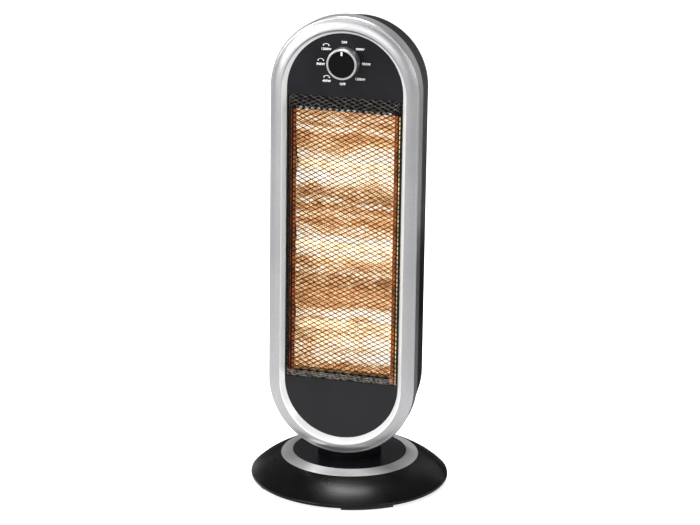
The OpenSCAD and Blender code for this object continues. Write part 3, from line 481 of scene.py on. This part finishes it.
@dataclass(frozen=True)
class Quartz(Finish):
    """Drawn quartz glass: clear, with slow draw lines along it and a faint warm painted glow for the coil's light
    inside.
    """

    name: str = "quartz_glass"
    tint: str = "#fff6e8"
    glow: str = "#ffeccb"

    def wire(self, net: Net) -> Node:
        """Returns the finish's shader."""
        cloud = net.add("TexNoise", {"Vector": net.place, "Scale": per_mm(11.0), "Detail": 2.0})
        glow = net.add("MapRange", [cloud, 0.38, 0.62, 0.0, 0.3])
        return net.add("BsdfPrincipled", {
            "Base Color": linear(self.tint), "Roughness": 0.25, "IOR": 1.3, "Transmission Weight": 1.0,
            "Specular IOR Level": 0.1, "Normal": net.relief(1.5, 0.008, (0.03, 1.0, 1.0)),
            "Emission Color": linear(self.glow), "Emission Strength": glow})


@dataclass(frozen=True)
class GuardEnamel(Finish):
    """Black enamel baked on pressed mesh.

    It is thin and glossy, so each strand keeps a hard glint. At the tray's folds and end walls the strands turn to
    grey steel in patches, a painted highlight for the glints there, stronger on the lower end wall than the upper
    and faint on the sides.
    """

    fold_x_mm: float
    fold_z_mm: float
    black: str = "#060504"
    # the grey of the painted glints on the folds
    steel: str = "#a9a49b"

    def wire(self, net: Net) -> Node:
        """Returns the finish's shader."""
        # painted highlight: bare-looking steel on the folds and end walls, more below than above, in patches
        ends = net.add("MapRange", [net.span(net.z, WINDOW_LEVEL), (self.fold_z_mm - 1.6) * MM, self.fold_z_mm * MM])
        sides = net.add("MapRange", [net.span(net.x, 0.0), (self.fold_x_mm - 0.6) * MM, self.fold_x_mm * MM, 0.0, 0.12])
        glint_patches = net.add("TexNoise", {"Vector": net.place, "Scale": per_mm(4.0), "Detail": 3.0})
        glint_spread = net.add("MapRange", [glint_patches, 0.35, 0.6, 0.05, 0.5])
        lower_brighter = net.add("MapRange", [net.z, (WINDOW_LEVEL - 1) * MM, (WINDOW_LEVEL + 1) * MM, 0.9, 0.6])
        ends = net.add("Math", [ends, lower_brighter], operation="MULTIPLY")
        share = net.add("Math", [net.chain("MAXIMUM", [ends, sides]), glint_spread], operation="MULTIPLY")
        bump = net.relief(0.4, 0.01)
        coat = net.add("BsdfPrincipled", {"Base Color": linear(self.black), "Roughness": 0.28,
                                          "Specular IOR Level": 0.1, "Normal": bump})
        painted_glint = net.add("BsdfPrincipled", {"Base Color": linear(self.steel), "Metallic": 0.8, "Roughness": 0.3,
                                          "Normal": bump})
        return net.add("MixShader", [share, coat, painted_glint])


@dataclass(frozen=True)
class GlowLitFrame(Finish):
    """Black heat paint on the lamp frame, lit from the side by the lamps.

    The sheet is nearly black. Close to the mouth its long edges carry painted light, copper brown emission that
    stands in for the glow beside them, and its outer bend a painted highlight, a thin golden line. Painted pale
    glints lie in small patches along the upper edge of the mouth, and a faint amber painted glow along its lower edge.
    """

    mouth_mm: float
    top_mm: float
    bottom_mm: float
    cell_mm: float = 6.9
    brown: str = "#a4582c"
    gold: str = "#ffdf9c"
    amber: str = "#e0a86e"
    pale: str = "#d9dde0"
    black: str = "#050404"

    def stripe(self, net: Net, source: object, centre_mm: float, half_mm: float) -> Node:
        """Returns a soft stripe: 1 at a distance from the origin and 0 beyond its half width."""
        return net.add("MapRange", [net.span(source, centre_mm), half_mm * 0.6 * MM, half_mm * MM, 1.0, 0.0])

    def glints(self, net: Net, patch: Node) -> Node:
        """Returns a factor for the painted pale glints along the upper edge, one in each cell and some of them faint.
        """
        half_cell = self.cell_mm / 2 * MM
        cells = net.add("Math", [net.x, half_cell], operation="PINGPONG")
        dots = net.add("MapRange", [cells, 0.3 * half_cell, 0.75 * half_cell])
        cloudy = net.add("MapRange", [patch, 0.36, 0.55, 0.15, 1.0])
        return net.add("Math", [dots, cloudy], operation="MULTIPLY")

    def wire(self, net: Net) -> Node:
        """Returns the finish's shader."""
        wide = net.span(net.x, 0.0)
        patch = net.add("TexNoise", {"Vector": net.place, "Scale": per_mm(14.0), "Detail": 4.0})
        tone = net.add("MapRange", [patch, 0.35, 0.65, 0.35, 1.0])
        below = net.add("Math", [net.z, self.top_mm * MM], operation="LESS_THAN")
        inside = net.add("Math", [wide, self.mouth_mm * MM], operation="LESS_THAN")
        east = net.add("Math", [net.x, 0.0], operation="GREATER_THAN")
        right = net.add("Math", [east, below], operation="MULTIPLY")
        lean = net.add("MapRange", [net.x, -self.mouth_mm * MM, self.mouth_mm * MM, 0.7, 1.0])
        low = net.add("Math", [below, lean], operation="MULTIPLY")
        streaks = (  # painted glows: axis, centre and half width in mm, where it shows, its patches, colour, strength
            (net.x, self.mouth_mm + 1.7, 2.6, low, tone, self.brown, 1.5),
            (net.x, -self.mouth_mm - 1.6, 1.9, low, tone, self.brown, 1.5),
            (net.x, -self.mouth_mm - 5.4, 0.8, low, tone, self.brown, 1.0),
            (wide, self.mouth_mm + 6.0, 0.6, right, tone, self.gold, 1.4),
            (net.z, self.bottom_mm - 1.4, 2.3, inside, tone, self.amber, 0.5),
            (net.z, self.top_mm + 1.6, 1.5, inside, self.glints(net, patch), self.pale, 0.9))
        shader = net.add("BsdfPrincipled", {"Base Color": linear(self.black), "Roughness": 0.6,
                                            "Specular IOR Level": 0.08, "Normal": net.relief(0.5, 0.02)})
        for axis, centre, half, gate, shade, colour, strength in streaks:
            power = net.chain("MULTIPLY", [self.stripe(net, axis, centre, half), gate, shade, net.front_only(strength)])
            glow = net.add("Emission", [linear(colour), power])
            shader = net.add("AddShader", [shader, glow])
        return shader


@dataclass(frozen=True)
class Matt(Finish):
    """Fired ceramic, rubber or printed ink: a dull surface with fine pores and slight blotches."""

    colour: str
    blotch: str
    roughness: float
    pore_mm: float = 0.5
    pore_depth_mm: float = 0.02
    blotch_mm: float = 6.0

    def wire(self, net: Net) -> Node:
        """Returns the finish's shader."""
        patches = net.add("TexNoise", {"Vector": net.place, "Scale": per_mm(self.blotch_mm)})
        tone = net.add("ValToRGB", [patches], stops=[(0.35, self.colour), (0.75, self.blotch)])
        return net.add("BsdfPrincipled", {"Base Color": tone, "Roughness": self.roughness,
                                          "Normal": net.relief(self.pore_mm, self.pore_depth_mm, Detail=4.0)})


def set_mode(mode: str, select: str | None = None) -> None:
    """Changes the active object's mode.

    Args:
        mode: OBJECT or EDIT.
        select: in edit mode, SELECT or DESELECT for all of the mesh, or None to leave the selection.
    """
    bpy.ops.object.mode_set(mode=mode)
    if select:
        bpy.ops.mesh.select_all(action=select)


def start_clean() -> None:
    """Leaves edit mode and deselects everything."""
    if bpy.context.object and bpy.context.object.mode != "OBJECT":
        set_mode("OBJECT")
    bpy.ops.object.select_all(action="DESELECT")


def newest(name: str, **settings: object) -> Piece:
    """Names the object that was just added.

    Args:
        name: the piece's name.
        settings: attributes to set on it, such as its scale.

    Returns:
        The object.
    """
    piece = bpy.context.object
    assign(piece, name=name, **settings)
    return piece


def settle(obj: Piece) -> Piece:
    """Puts an object's place into its mesh, so that the object sits at the origin, and returns it."""
    start_clean()
    obj.select_set(True)
    bpy.context.view_layer.objects.active = obj
    bpy.ops.object.transform_apply(location=True, rotation=True, scale=True)
    return obj


def plane(name: str, size: Pair, **place: tuple) -> Piece:
    """Adds a flat sheet of a size in metres, with its place and turn in its mesh."""
    start_clean()
    bpy.ops.mesh.primitive_plane_add(size=1.0, **place)
    return settle(newest(name, scale=(*size, 1.0)))


def shape(obj: Piece, name: str, kind: str, **settings: object) -> None:
    """Changes a mesh by a modifier and applies it.

    Args:
        obj: the object.
        name: the modifier's name.
        kind: its type.
        settings: its attributes.
    """
    bpy.context.view_layer.objects.active = obj
    modifier = obj.modifiers.new(name, kind)
    assign(modifier, **settings)
    bpy.ops.object.modifier_apply(modifier=modifier.name)


def hang(name: str, data: bpy.types.ID, **settings: object) -> Piece:
    """Adds a camera or a lamp to the scene.

    Args:
        name: its name.
        data: its data block.
        settings: attributes of the data block.

    Returns:
        The new object.
    """
    assign(data, **settings)
    piece = bpy.data.objects.new(name, data)
    bpy.context.scene.collection.objects.link(piece)
    return piece


def dress(obj: Piece, material: Material) -> None:
    """Gives every slot of an object one material."""
    if not obj.data.materials:
        obj.data.materials.append(material)
    for slot in obj.material_slots:
        slot.material = material


def box_mm(node: str) -> tuple[Vector, Vector]:
    """Returns a CAD node's lowest and highest corners in millimetres."""
    low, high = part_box(node)
    return Vector(low) / MM, Vector(high) / MM


@dataclass
class Guard:
    """The expanded-metal grille, at its real mesh, pressed into a shallow tray."""

    columns: int = 12
    rows: int = 58
    flat_w: float = 120.8
    flat_h: float = 311.2
    side_reach: float = 4.8
    end_reach: float = 11.1
    front_y: float = -53.5
    depth: float = 12.5
    strand: float = 0.9
    raised: float = 0.35
    rim_width: float = 4.4
    rim_wall: float = 0.6
    rim_lift: float = 0.1

    @property
    def walls(self) -> Pair:
        """The lengths of the sloping side and end walls."""
        return math.hypot(self.side_reach, self.depth), math.hypot(self.end_reach, self.depth)

    def folded(self, u: float, v: float) -> Vector:
        """Places a point of the flat sheet on the pressed tray.

        Args:
            u: distance across the sheet from its centre, in millimetres.
            v: distance up the sheet from its centre, in millimetres.

        Returns:
            The point in millimetres, with Z from the grille's centre.
        """
        past_side = max(0.0, abs(u) - self.flat_w / 2) / self.walls[0]
        past_end = max(0.0, abs(v) - self.flat_h / 2) / self.walls[1]
        x = min(abs(u), self.flat_w / 2) + past_side * self.side_reach
        z = min(abs(v), self.flat_h / 2) + past_end * self.end_reach
        y = self.front_y + self.depth * max(past_side, past_end)
        return Vector((math.copysign(x, u), y, math.copysign(z, v)))

    def diamonds(self, cell_w: float, cell_h: float) -> Piece:
        """Returns the flat sheet in millimetres: a poked grid without its straight edges, so that diamonds stay."""
        cols = self.columns + 2 * math.ceil(self.walls[0] / cell_w)
        rows = self.rows + 2 * math.ceil(self.walls[1] / cell_h)
        start_clean()
        bpy.ops.mesh.primitive_grid_add(x_subdivisions=cols, y_subdivisions=rows, size=1.0)
        sheet = settle(newest("guard_mesh", scale=(cols * cell_w, rows * cell_h, 1.0)))
        straight = {tuple(sorted(edge.vertices)) for edge in sheet.data.edges}
        set_mode("EDIT", "SELECT")
        bpy.ops.mesh.poke()
        bpy.ops.mesh.select_all(action="DESELECT")
        set_mode("OBJECT")
        faces_at = Counter(key for polygon in sheet.data.polygons for key in polygon.edge_keys)
        for edge in sheet.data.edges:
            key = tuple(sorted(edge.vertices))
            edge.select = key in straight and faces_at[key] > 1
        set_mode("EDIT")
        bpy.ops.mesh.select_mode(type="EDGE")
        bpy.ops.mesh.dissolve_edges(use_verts=False)
        for axis, limit in ((0, self.flat_w / 2 + self.walls[0]), (1, self.flat_h / 2 + self.walls[1])):
            for side in (-1, 1):
                bpy.ops.mesh.select_all(action="SELECT")
                point, normal = [0.0] * 3, [0.0] * 3
                point[axis], normal[axis] = side * limit, side
                bpy.ops.mesh.bisect(plane_co=point, plane_no=normal, clear_outer=True)
        set_mode("OBJECT")
        return sheet

    def build(self) -> Piece:
        """Returns the pressed mesh as one object of raised strands."""
        cell_w, cell_h = self.flat_w / self.columns, self.flat_h / self.rows
        sheet = self.diamonds(cell_w, cell_h)
        for vertex in sheet.data.vertices:
            u, v = vertex.co.x, vertex.co.y
            odd = round(2 * v / cell_h) % 2
            place = self.folded(u, v)
            lift = self.raised * (0.5 if odd else -0.5) * (abs(u) < self.flat_w / 2 and abs(v) < self.flat_h / 2)
            vertex.co = Vector((place.x, place.y + lift, place.z + WINDOW_LEVEL)) * MM
        shape(sheet, "strands", "WIREFRAME", thickness=self.strand * MM, use_even_offset=True, use_boundary=True,
              use_replace=True)
        return settle(sheet)

    def border(self) -> Piece:
        """Returns the flat rim of the tray, which lies behind the panel."""
        low, high = box_mm("mesh_guard")
        rim = plane("guard_rim", ((high.x - low.x) * MM, (high.z - low.z) * MM), rotation=UPRIGHT,
                    location=(0.0, (high.y - self.rim_lift) * MM, WINDOW_LEVEL * MM))
        set_mode("EDIT", "SELECT")
        bpy.ops.mesh.inset(thickness=self.rim_width * MM, use_even_offset=True)
        bpy.ops.mesh.delete(type="FACE")
        set_mode("OBJECT")
        shape(rim, "wall", "SOLIDIFY", thickness=self.rim_wall * MM, offset=0.0)
        shape(rim, "edge", "BEVEL", width=self.rim_wall / 4 * MM, segments=2)
        return rim


@dataclass
class Coil:
    """A helix of round wire, wound by sweeping a small ring along a screw line."""

    name: str
    radius: float
    wire: float
    pitch: float
    turns: int
    steps: int = 12
    sides: int = 6

    def build(self) -> Piece:
        """Returns the coil, standing on the origin along +Z, in metres."""
        start_clean()
        bpy.ops.mesh.primitive_circle_add(vertices=self.sides, radius=self.wire * MM,
                                          location=(self.radius * MM, 0, 0), rotation=UPRIGHT)
        coil = settle(newest(self.name))
        shape(coil, "winding", "SCREW", screw_offset=self.pitch * MM, iterations=self.turns, steps=self.steps,
              render_steps=self.steps, use_smooth_shade=True)
        set_mode("EDIT", "DESELECT")
        bpy.ops.mesh.select_mode(type="EDGE")
        bpy.ops.mesh.select_non_manifold()
        bpy.ops.mesh.edge_face_add()
        bpy.ops.mesh.select_all(action="SELECT")
        bpy.ops.mesh.normals_make_consistent(inside=False)
        set_mode("OBJECT")
        return coil


@dataclass
class Lamps:
    """The three quartz lamps: a coil in each tube, between ceramic caps."""

    levels: tuple[str, ...] = ("upper", "middle", "lower")
    wire: float = 0.28
    pitch: float = 1.15
    spare: float = 1.0

    def build(self) -> list[Piece]:
        """Returns the three coils, each in the place of its CAD node."""
        coils = []
        for level in self.levels:
            node = f"filament_{level}"
            low, high = box_mm(node)
            middle = (low + high) / 2
            turns = int((high.x - low.x - self.spare) / self.pitch)
            coil = Coil(f"coil_{level}", (high.z - low.z) / 2 - self.wire, self.wire, self.pitch, turns).build()
            coil.rotation_euler = (0.0, math.pi / 2, 0.0)
            coil.location = (-turns * self.pitch / 2 * MM, middle.y * MM, middle.z * MM)
            settle(coil)
            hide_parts(node)
            coils.append(coil)
        return coils


class Turn(Enum):
    """Where a dial setting lies, as its angle in degrees clockwise from the top."""

    TOP = 0
    RIGHT_LOW = 45
    RIGHT_MID = 90
    RIGHT_HIGH = 135
    BOTTOM = 180
    LEFT_LOW = 225
    LEFT_MID = 270
    LEFT_HIGH = 315


@dataclass
class Dial:
    """The printed settings round the knob. `nudges` holds how far a word stands off the even ring."""

    panel_y: float = -43.5
    centre: Pair = (-1.3, -1.3)
    radius_x: float = 25.5
    radius_z: float = 23.0
    size: float = 3.7
    ink: float = 0.05
    drop: float = 2.2
    mark_rise: float = 2.6
    mark_r: float = 3.3
    arrow_r: float = 0.9
    arrow_inset: float = 0.2
    arc_foot: float = 0.2
    stroke: float = 0.45
    swell: float = 0.06
    nudges: dict[Turn, Pair] = field(default_factory=lambda: {
        Turn.LEFT_HIGH: (-2.7, 0.0), Turn.LEFT_MID: (-1.3, -1.2), Turn.LEFT_LOW: (-1.8, -3.8),
        Turn.RIGHT_HIGH: (0.6, -1.4), Turn.BOTTOM: (-1.4, -1.6)})

    def word(self, name: str, text: str, x: float, z: float) -> Piece:
        """Prints a word on the panel.

        Args:
            name: the piece's name.
            text: the word.
            x: the word's centre across the panel, in millimetres.
            z: the word's centre up the panel, in millimetres.

        Returns:
            The word as a thin mesh.
        """
        start_clean()
        bpy.ops.object.text_add(rotation=UPRIGHT)
        letters = bpy.context.object
        assign(letters.data, body=text, size=self.size * MM, align_x="CENTER", align_y="CENTER", resolution_u=3,
               extrude=self.ink / 2 * MM, space_character=1.05, offset=self.swell * MM)
        letters.location = (x * MM, (self.panel_y - self.ink / 2) * MM, z * MM)
        bpy.ops.object.convert(target="MESH")
        return settle(newest(name))

    def swing_mark(self, name: str, x: float, z: float) -> Piece:
        """Prints a small arc with an arrowhead at each end: the head swings at this setting.

        Args:
            name: the piece's name.
            x: the mark's centre across the panel, in millimetres.
            z: the level of the arc's ends, in millimetres.

        Returns:
            The mark as a thin mesh.
        """
        start_clean()
        y = self.panel_y - self.ink / 2
        bpy.ops.mesh.primitive_circle_add(vertices=32, radius=self.mark_r * MM, fill_type="NOTHING", rotation=UPRIGHT)
        mark = settle(newest(name, scale=(1.0, 0.5, 1.0), location=(x * MM, y * MM, z * MM)))
        set_mode("EDIT")
        bpy.ops.mesh.select_mode(type="VERT")
        bpy.ops.mesh.select_all(action="DESELECT")
        set_mode("OBJECT")
        for vertex in mark.data.vertices:
            vertex.select = vertex.co.z < (z + self.arc_foot) * MM
        set_mode("EDIT")
        bpy.ops.mesh.delete(type="VERT")
        bpy.ops.mesh.select_all(action="SELECT")
        bpy.ops.mesh.extrude_region_move(TRANSFORM_OT_translate={"value": (0, 0, self.stroke * MM)})
        for side in (-1, 1):
            bpy.ops.mesh.primitive_circle_add(
                vertices=3, radius=self.arrow_r * MM, fill_type="NGON", rotation=(math.pi / 2, math.pi, 0),
                location=((x + side * (self.mark_r - self.arrow_inset)) * MM, y * MM, z * MM))
        bpy.ops.mesh.select_all(action="SELECT")
        bpy.ops.mesh.normals_make_consistent(inside=False)
        set_mode("OBJECT")
        shape(mark, "ink", "SOLIDIFY", thickness=self.ink * MM, offset=0.0)
        return mark

    def build(self, centre_z: float) -> list[Piece]:
        """Returns every printed mark, set round the knob's centre."""
        powers = {"LOW": "400W", "MID": "800W", "HIGH": "1200W"}
        made = []
        for turn in Turn:
            angle = math.radians(turn.value)
            across, up = self.nudges.get(turn, (0.0, 0.0))
            x = self.centre[0] + self.radius_x * math.sin(angle) + across
            z = centre_z + self.centre[1] + self.radius_z * math.cos(angle) + up
            name = f"print_{turn.name.lower()}"
            swings = turn.value > Turn.BOTTOM.value
            text = powers.get(turn.name.split("_")[-1], "OFF")
            made.append(self.word(name, text, x, z - (self.drop if swings else 0.0)))
            if swings:
                made.append(self.swing_mark(f"{name}_swing", x, z + self.mark_rise - self.stroke))
        return made


@dataclass
class Studio:
    """A white floor, a white surround, soft lamps, dark cloths and the camera."""

    lens: float = 149.96
    place: Triple = (816.3, -3096.1, 1238.2)
    target: Triple = (0.0, 0.0, 280.0)
    roll: float = 0.82
    shift: Pair = (-0.00367, -0.02314)
    soft: float = 0.45
    ceiling: float = 0.12
    floor_size: float = 24.0
    floor_drop: float = 0.5
    floor_paint: str = "#b8b8b8"
    floor_glow: float = 0.72
    floor_dim: str = "#5a5a5a"
    wedge_slope: float = 1.1
    flags: tuple[tuple, ...] = (  # name, centre and size in metres, colour
        ("flag_low", (0.0, 0.6, 0.065), (1.1, 0.13), "#080808"),
        ("flag_high", (-0.42, 0.6, 0.43), (1.2, 0.6), "#5a5a5a"),
        ("flag_side", (0.3, 0.6, 0.43), (0.24, 0.6), "#989898"),
        ("flag_dome", (0.56, 0.6, 0.28), (0.28, 0.3), "#181818"))
    lamps: tuple[tuple, ...] = (  # name, place and side in metres, power in watts
        ("key", (-0.5, -2.6, 2.0), 0.9, 7.0),
        ("left", (-1.25, -1.7, 1.0), 1.0, 42.0),
        ("front", (0.05, -2.2, 1.0), 0.8, 11.0),
        ("right", (1.9, -1.1, 1.0), 0.8, 17.0),
        ("top", (-0.1, 0.25, 2.5), 1.0, 132.0))

    def camera(self) -> None:
        """Sets the scene's camera at the photograph's angle."""
        camera = hang("camera", bpy.data.cameras.new("camera"), lens=self.lens, sensor_width=36.0,
                      shift_x=self.shift[0], shift_y=self.shift[1], clip_start=0.1, clip_end=50.0)
        away = (Vector(self.place) - Vector(self.target)).normalized()
        right = Vector((0, 0, 1)).cross(away).normalized()
        up = away.cross(right)
        turn = math.radians(self.roll)
        right, up = (math.cos(turn) * right + math.sin(turn) * up, math.cos(turn) * up - math.sin(turn) * right)
        matrix = camera.matrix_world.copy()
        for row in range(3):
            matrix[row] = (right[row], up[row], away[row], self.place[row] * MM)
        camera.matrix_world = matrix
        bpy.context.scene.camera = camera

    def surround(self) -> None:
        """Makes a world that is white to the eye, and to gloss a white backdrop under a dim ceiling."""
        world = bpy.data.worlds.new("surround")
        bpy.context.scene.world = world
        net = Net(world)
        path = net.add("LightPath")
        split = net.add("SeparateXYZ", [(net.coordinates, "Generated")])
        ceiling = net.add("MapRange", [(split, "Z"), 0.12, 0.45, 1.0, self.ceiling])
        gloss = net.add("Math", [ceiling, (path, "Is Glossy Ray")], operation="MULTIPLY")
        plain = net.add("Math", [(path, "Is Diffuse Ray"), self.soft], operation="MULTIPLY")
        strength = net.chain("MAXIMUM", [gloss, plain, (path, "Is Camera Ray"), (path, "Is Transmission Ray")])
        light = net.add("Background", [linear(WHITE), strength])
        net.add("OutputWorld", [light])

    def floor(self) -> None:
        """Lays a white floor that keeps the object's shadow. Gloss sees it dark behind the heater and far away."""
        floor = plane("floor", (self.floor_size, self.floor_size), location=(0, 0, -self.floor_drop * MM))
        material = bpy.data.materials.new("white_floor")
        net = Net(material)
        path = net.add("LightPath")
        seen = net.chain("MAXIMUM", [(path, f"Is {ray} Ray") for ray in ("Camera", "Glossy", "Transmission")])
        paint = net.add("BsdfDiffuse", [linear(self.floor_paint)])
        lift = net.add("Emission", [linear(WHITE), self.floor_glow])
        both = net.add("AddShader", [paint, lift])
        mix = net.add("MixShader", [seen, paint, both])
        lean = net.add("Math", [net.span(net.x, 0.0), -self.wedge_slope], operation="MULTIPLY")
        wedge = net.add("Math", [net.y, lean], operation="ADD")
        behind = net.add("MapRange", [wedge, -0.22, -0.08])
        away = net.add("VectorMath", [net.place], operation="LENGTH")
        far = net.add("MapRange", [(away, "Value"), 0.3, 0.8, 0.0, 0.38])
        cloth = net.add("Math", [net.chain("MAXIMUM", [behind, far]), (path, "Is Glossy Ray")], operation="MULTIPLY")
        dim = net.add("Emission", [linear(self.floor_dim), 1.0])
        net.add("OutputMaterial", [net.add("MixShader", [cloth, mix, dim])])
        dress(floor, material)

    def flag(self, name: str, place: Triple, size: Pair, colour: str) -> None:
        """Stands a dark cloth where only gloss sees it, as a photographer does to give polished sides an edge.

        Args:
            name: the cloth's name.
            place: its centre, in metres.
            size: its width and height, in metres.
            colour: its colour.
        """
        cloth = plane(name, size, rotation=UPRIGHT, location=place)
        material = bpy.data.materials.new(f"{name}_cloth")
        net = Net(material)
        net.add("OutputMaterial", [net.add("BsdfDiffuse", [linear(colour)])])
        dress(cloth, material)
        for ray in ("camera", "diffuse", "transmission", "shadow", "volume_scatter"):
            setattr(cloth, f"visible_{ray}", False)

    def lamp(self, name: str, place: Triple, size: float, power: float) -> None:
        """Hangs a soft square lamp that faces the heater.

        Args:
            name: the lamp's name.
            place: where it hangs, in metres.
            size: its side, in metres.
            power: its power, in watts.
        """
        lamp = hang(name, bpy.data.lights.new(name, "AREA"), shape="SQUARE", size=size, energy=power)
        lamp.location = place
        middle = Vector(self.target) * MM
        lamp.rotation_euler = (middle - Vector(place)).to_track_quat("-Z", "Y").to_euler()

    def build(self) -> None:
        """Sets up the camera, the surround, the floor, the cloths and the lamps."""
        bpy.context.scene.view_settings.view_transform = "Standard"
        self.camera()
        self.surround()
        self.floor()
        for flag in self.flags:
            self.flag(*flag)
        for lamp in self.lamps:
            self.lamp(*lamp)


@dataclass
class Heater:
    """The whole object: which finish each CAD node takes, and the pieces that replace some of them."""

    frame: dict

    def plastics(self) -> list[tuple[Finish, list[str]]]:
        """Returns the moulded finishes with the CAD nodes that take them."""
        sparked = Grain.SPARKED
        return [
            # Polished ABS: a dark mirror with slow waves.
            (Plastic("polished_black_abs", "#0e0e12", "#15151a", 0.2, grain_mm=1.4, grain_depth_mm=0.004,
                     wave_depth_mm=0.05, wave_mm=30.0, specular=0.17), ["front_panel", "deck_disc"]),
            # Fine spark-eroded ABS: soft, wide highlights on the dome, and softer still on the shell and the knob.
            (Plastic("satin_black_abs", "#080707", "#0c0b0b", 0.27, sparked, 0.5, 0.02, specular=0.15), ["base_cover"]),
            (Plastic("shell_black_abs", "#080707", "#0c0b0b", 0.38, sparked, 0.5, 0.02, specular=0.11), ["rear_shell"]),
            # The neck's darker, duller black is painted shade for the shade under the head; on the knob it is its own
            # finish.
            (Plastic("knob_black_abs", "#050505", "#080808", 0.5, sparked, 0.4, 0.01, specular=0.05), ["knob", "neck"]),
            # Pressed phenolic: a dull dark grey that stands the switches' heat.
            (Plastic("dark_phenolic_resin", "#26262a", "#303036", 0.45, sparked, 0.7, 0.02),
             ["rotary_switch", "thermal_cutout", "tip_switch", "plunger_guide"]),
            # Unpigmented nylon: waxy ivory with a soft sheen.
            (Plastic("natural_nylon", "#ddd8c8", "#cfc9b6", 0.42, Grain.MOULDED, 0.8, 0.01),
             ["pivot_tube", "swing_sector", "drive_pinion", "bearing_ring", "tip_plunger", "mains_terminal"])]

    def metals(self) -> list[tuple[Finish, list[str]]]:
        """Returns the painted, plated and glowing metal finishes with the CAD nodes that take them."""
        # Painted lamp reflections on the reflector: level and half width in mm, strength, and lean.
        bands = tuple(GlowBand(*values) for values in (
            (437.0, 6.0, 0.3), (422.0, 5.0, 0.6), (375.0, 22.0, 1.15, 0.4), (361.0, 9.0, 1.0, -0.7),
            (336.5, 3.0, 0.5), (320.0, 4.0, 0.34), (299.0, 7.0, 0.5), (281.0, 14.0, 1.1), (252.7, 3.0, 0.45),
            (198.0, 8.0, 1.15, 0.3), (184.5, 6.0, 0.85, 0.5), (164.0, 13.0, 1.05, 0.75), (152.0, 6.0, 0.85, 0.4)))
        return [
            (MetallicPaint("silver_paint", "#e4e3e3", "#cfcfd2", metallic=0.85), ["trim_ring"]),
            (MetallicPaint("knob_silver", "#a9a8a9", "#959598", metallic=0.9), ["knob_rim"]),
            # The bezel's lip and corner colours are painted highlights.
            (MetallicPaint("bezel_silver", "#9b9a9b", "#89898c", metallic=0.8, lip_highlight=Racetrack(71.9, "#d8d8d7"),
                           corner_highlight=Racetrack(84.2, WHITE)), ["front_bezel"]),
            (GlowingReflector("glowing_reflector", bands), ["reflector"]),
            # Black heat paint, with painted lamp light along the mouth's edges.
            (GlowLitFrame("black_heat_paint", 57.0, 448.0, 143.35), ["lamp_frame"]),
            # Zinc-plated sheet: rolled lines under a cloudy blue-grey.
            (Metal("zinc_plated_steel", "#b9bbbd", "#8b8e92", 0.34),
             ["heat_shield", "lamp_clips", "base_plate", "swing_motor"])]

    def others(self) -> list[tuple[Finish, list[str]]]:
        """Returns the glass, ceramic, rubber and sleeving with the CAD nodes that take them."""
        return [
            (Quartz(), ["quartz_tube_upper", "quartz_tube_middle", "quartz_tube_lower"]),
            # Fired steatite: cream, with a dry, pitted face.
            (Matt("fired_ceramic", "#e8e3d8", "#d8d0c2", 0.65), ["ceramic_caps"]),
            # Moulded rubber: a deep black that hardly shines.
            (Matt("black_rubber", "#101010", "#1a1a1a", 0.75), ["foot_pads", "cord_gland"]),
            # Extruded silicone sleeving: a dull brick red.
            (Matt("silicone_sleeve", "#7a2f24", "#642419", 0.6), ["switch_leads"])]

    def coat(self, finish: Finish, nodes: list[str]) -> Material:
        """Dresses CAD nodes in a finish and returns its material."""
        material = finish.build()
        for node in nodes:
            dress(self.frame["nodes"][node], material)
        LOG.info("%s on %d nodes", material.name, len(nodes))
        return material

    def build(self) -> None:
        """Dresses the CAD nodes and builds the fine pieces."""
        for finish, nodes in self.plastics() + self.metals() + self.others():
            self.coat(finish, nodes)
        # Bright zinc on turned screws: fine rings across the head.
        zinc = self.coat(Metal("bright_zinc_screw", "#c3c5c8", "#94979b", 0.26, 0.3, (1.0, 1.0, 0.1)), [
            "shell_screws", "bezel_screws", "frame_screws", "neck_screws", "pivot_screws", "sector_screws",
            "base_screws", "motor_screws", "switch_nut", "switch_shaft", "motor_shaft"])
        # Pad-printed ink: a flat white with a slight grain.
        ink = self.coat(Matt("white_ink", "#f2f2f0", "#e6e6e4", 0.5, pore_depth_mm=0.004), ["knob_pointer"])
        self.add_guard(self.coat(GuardEnamel("baked_black_enamel", 60.4, 155.6), []))
        self.add_lamps(self.coat(HotWire(), []))
        self.add_spring(zinc)
        self.add_print(ink)

    def add_guard(self, material: Material) -> None:
        """Builds the grille and its rim in place of the CAD grille."""
        guard = Guard()
        mesh, rim = guard.build(), guard.border()
        for piece in (mesh, rim):
            dress(piece, material)
            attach(piece, "head")
        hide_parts("mesh_guard")
        LOG.info("grille with %d faces", len(mesh.data.polygons))

    def add_lamps(self, material: Material) -> None:
        """Winds the three glowing coils."""
        for coil in Lamps().build():
            dress(coil, material)
            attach(coil, "head")
            LOG.info("%s wound", coil.name)

    def add_spring(self, material: Material) -> None:
        """Winds the tip-over plunger's spring."""
        low, high = box_mm("plunger_spring")
        wire, turns = 0.42, 5
        pitch = (high.z - low.z - 2 * wire) / turns
        spring = Coil("plunger_spring_wire", (high.x - low.x) / 2 - wire, wire, pitch, turns, 24, 10).build()
        across, deep = (low.x + high.x) / 2 * MM, (low.y + high.y) / 2 * MM
        spring.location = (across, deep, (low.z + wire) * MM)
        settle(spring)
        dress(spring, material)
        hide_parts("plunger_spring")
        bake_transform(spring)

    def add_print(self, material: Material) -> None:
        """Prints the dial's settings on the panel."""
        low, high = box_mm("knob")
        for piece in Dial().build((low.z + high.z) / 2):
            dress(piece, material)
            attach(piece, "head")


def main() -> None:
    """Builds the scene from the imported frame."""
    logging.basicConfig(level=logging.INFO, format="%(name)s: %(message)s")
    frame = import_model()
    Studio().build()
    Heater(frame).build()


if __name__ == "__main__":
    main()
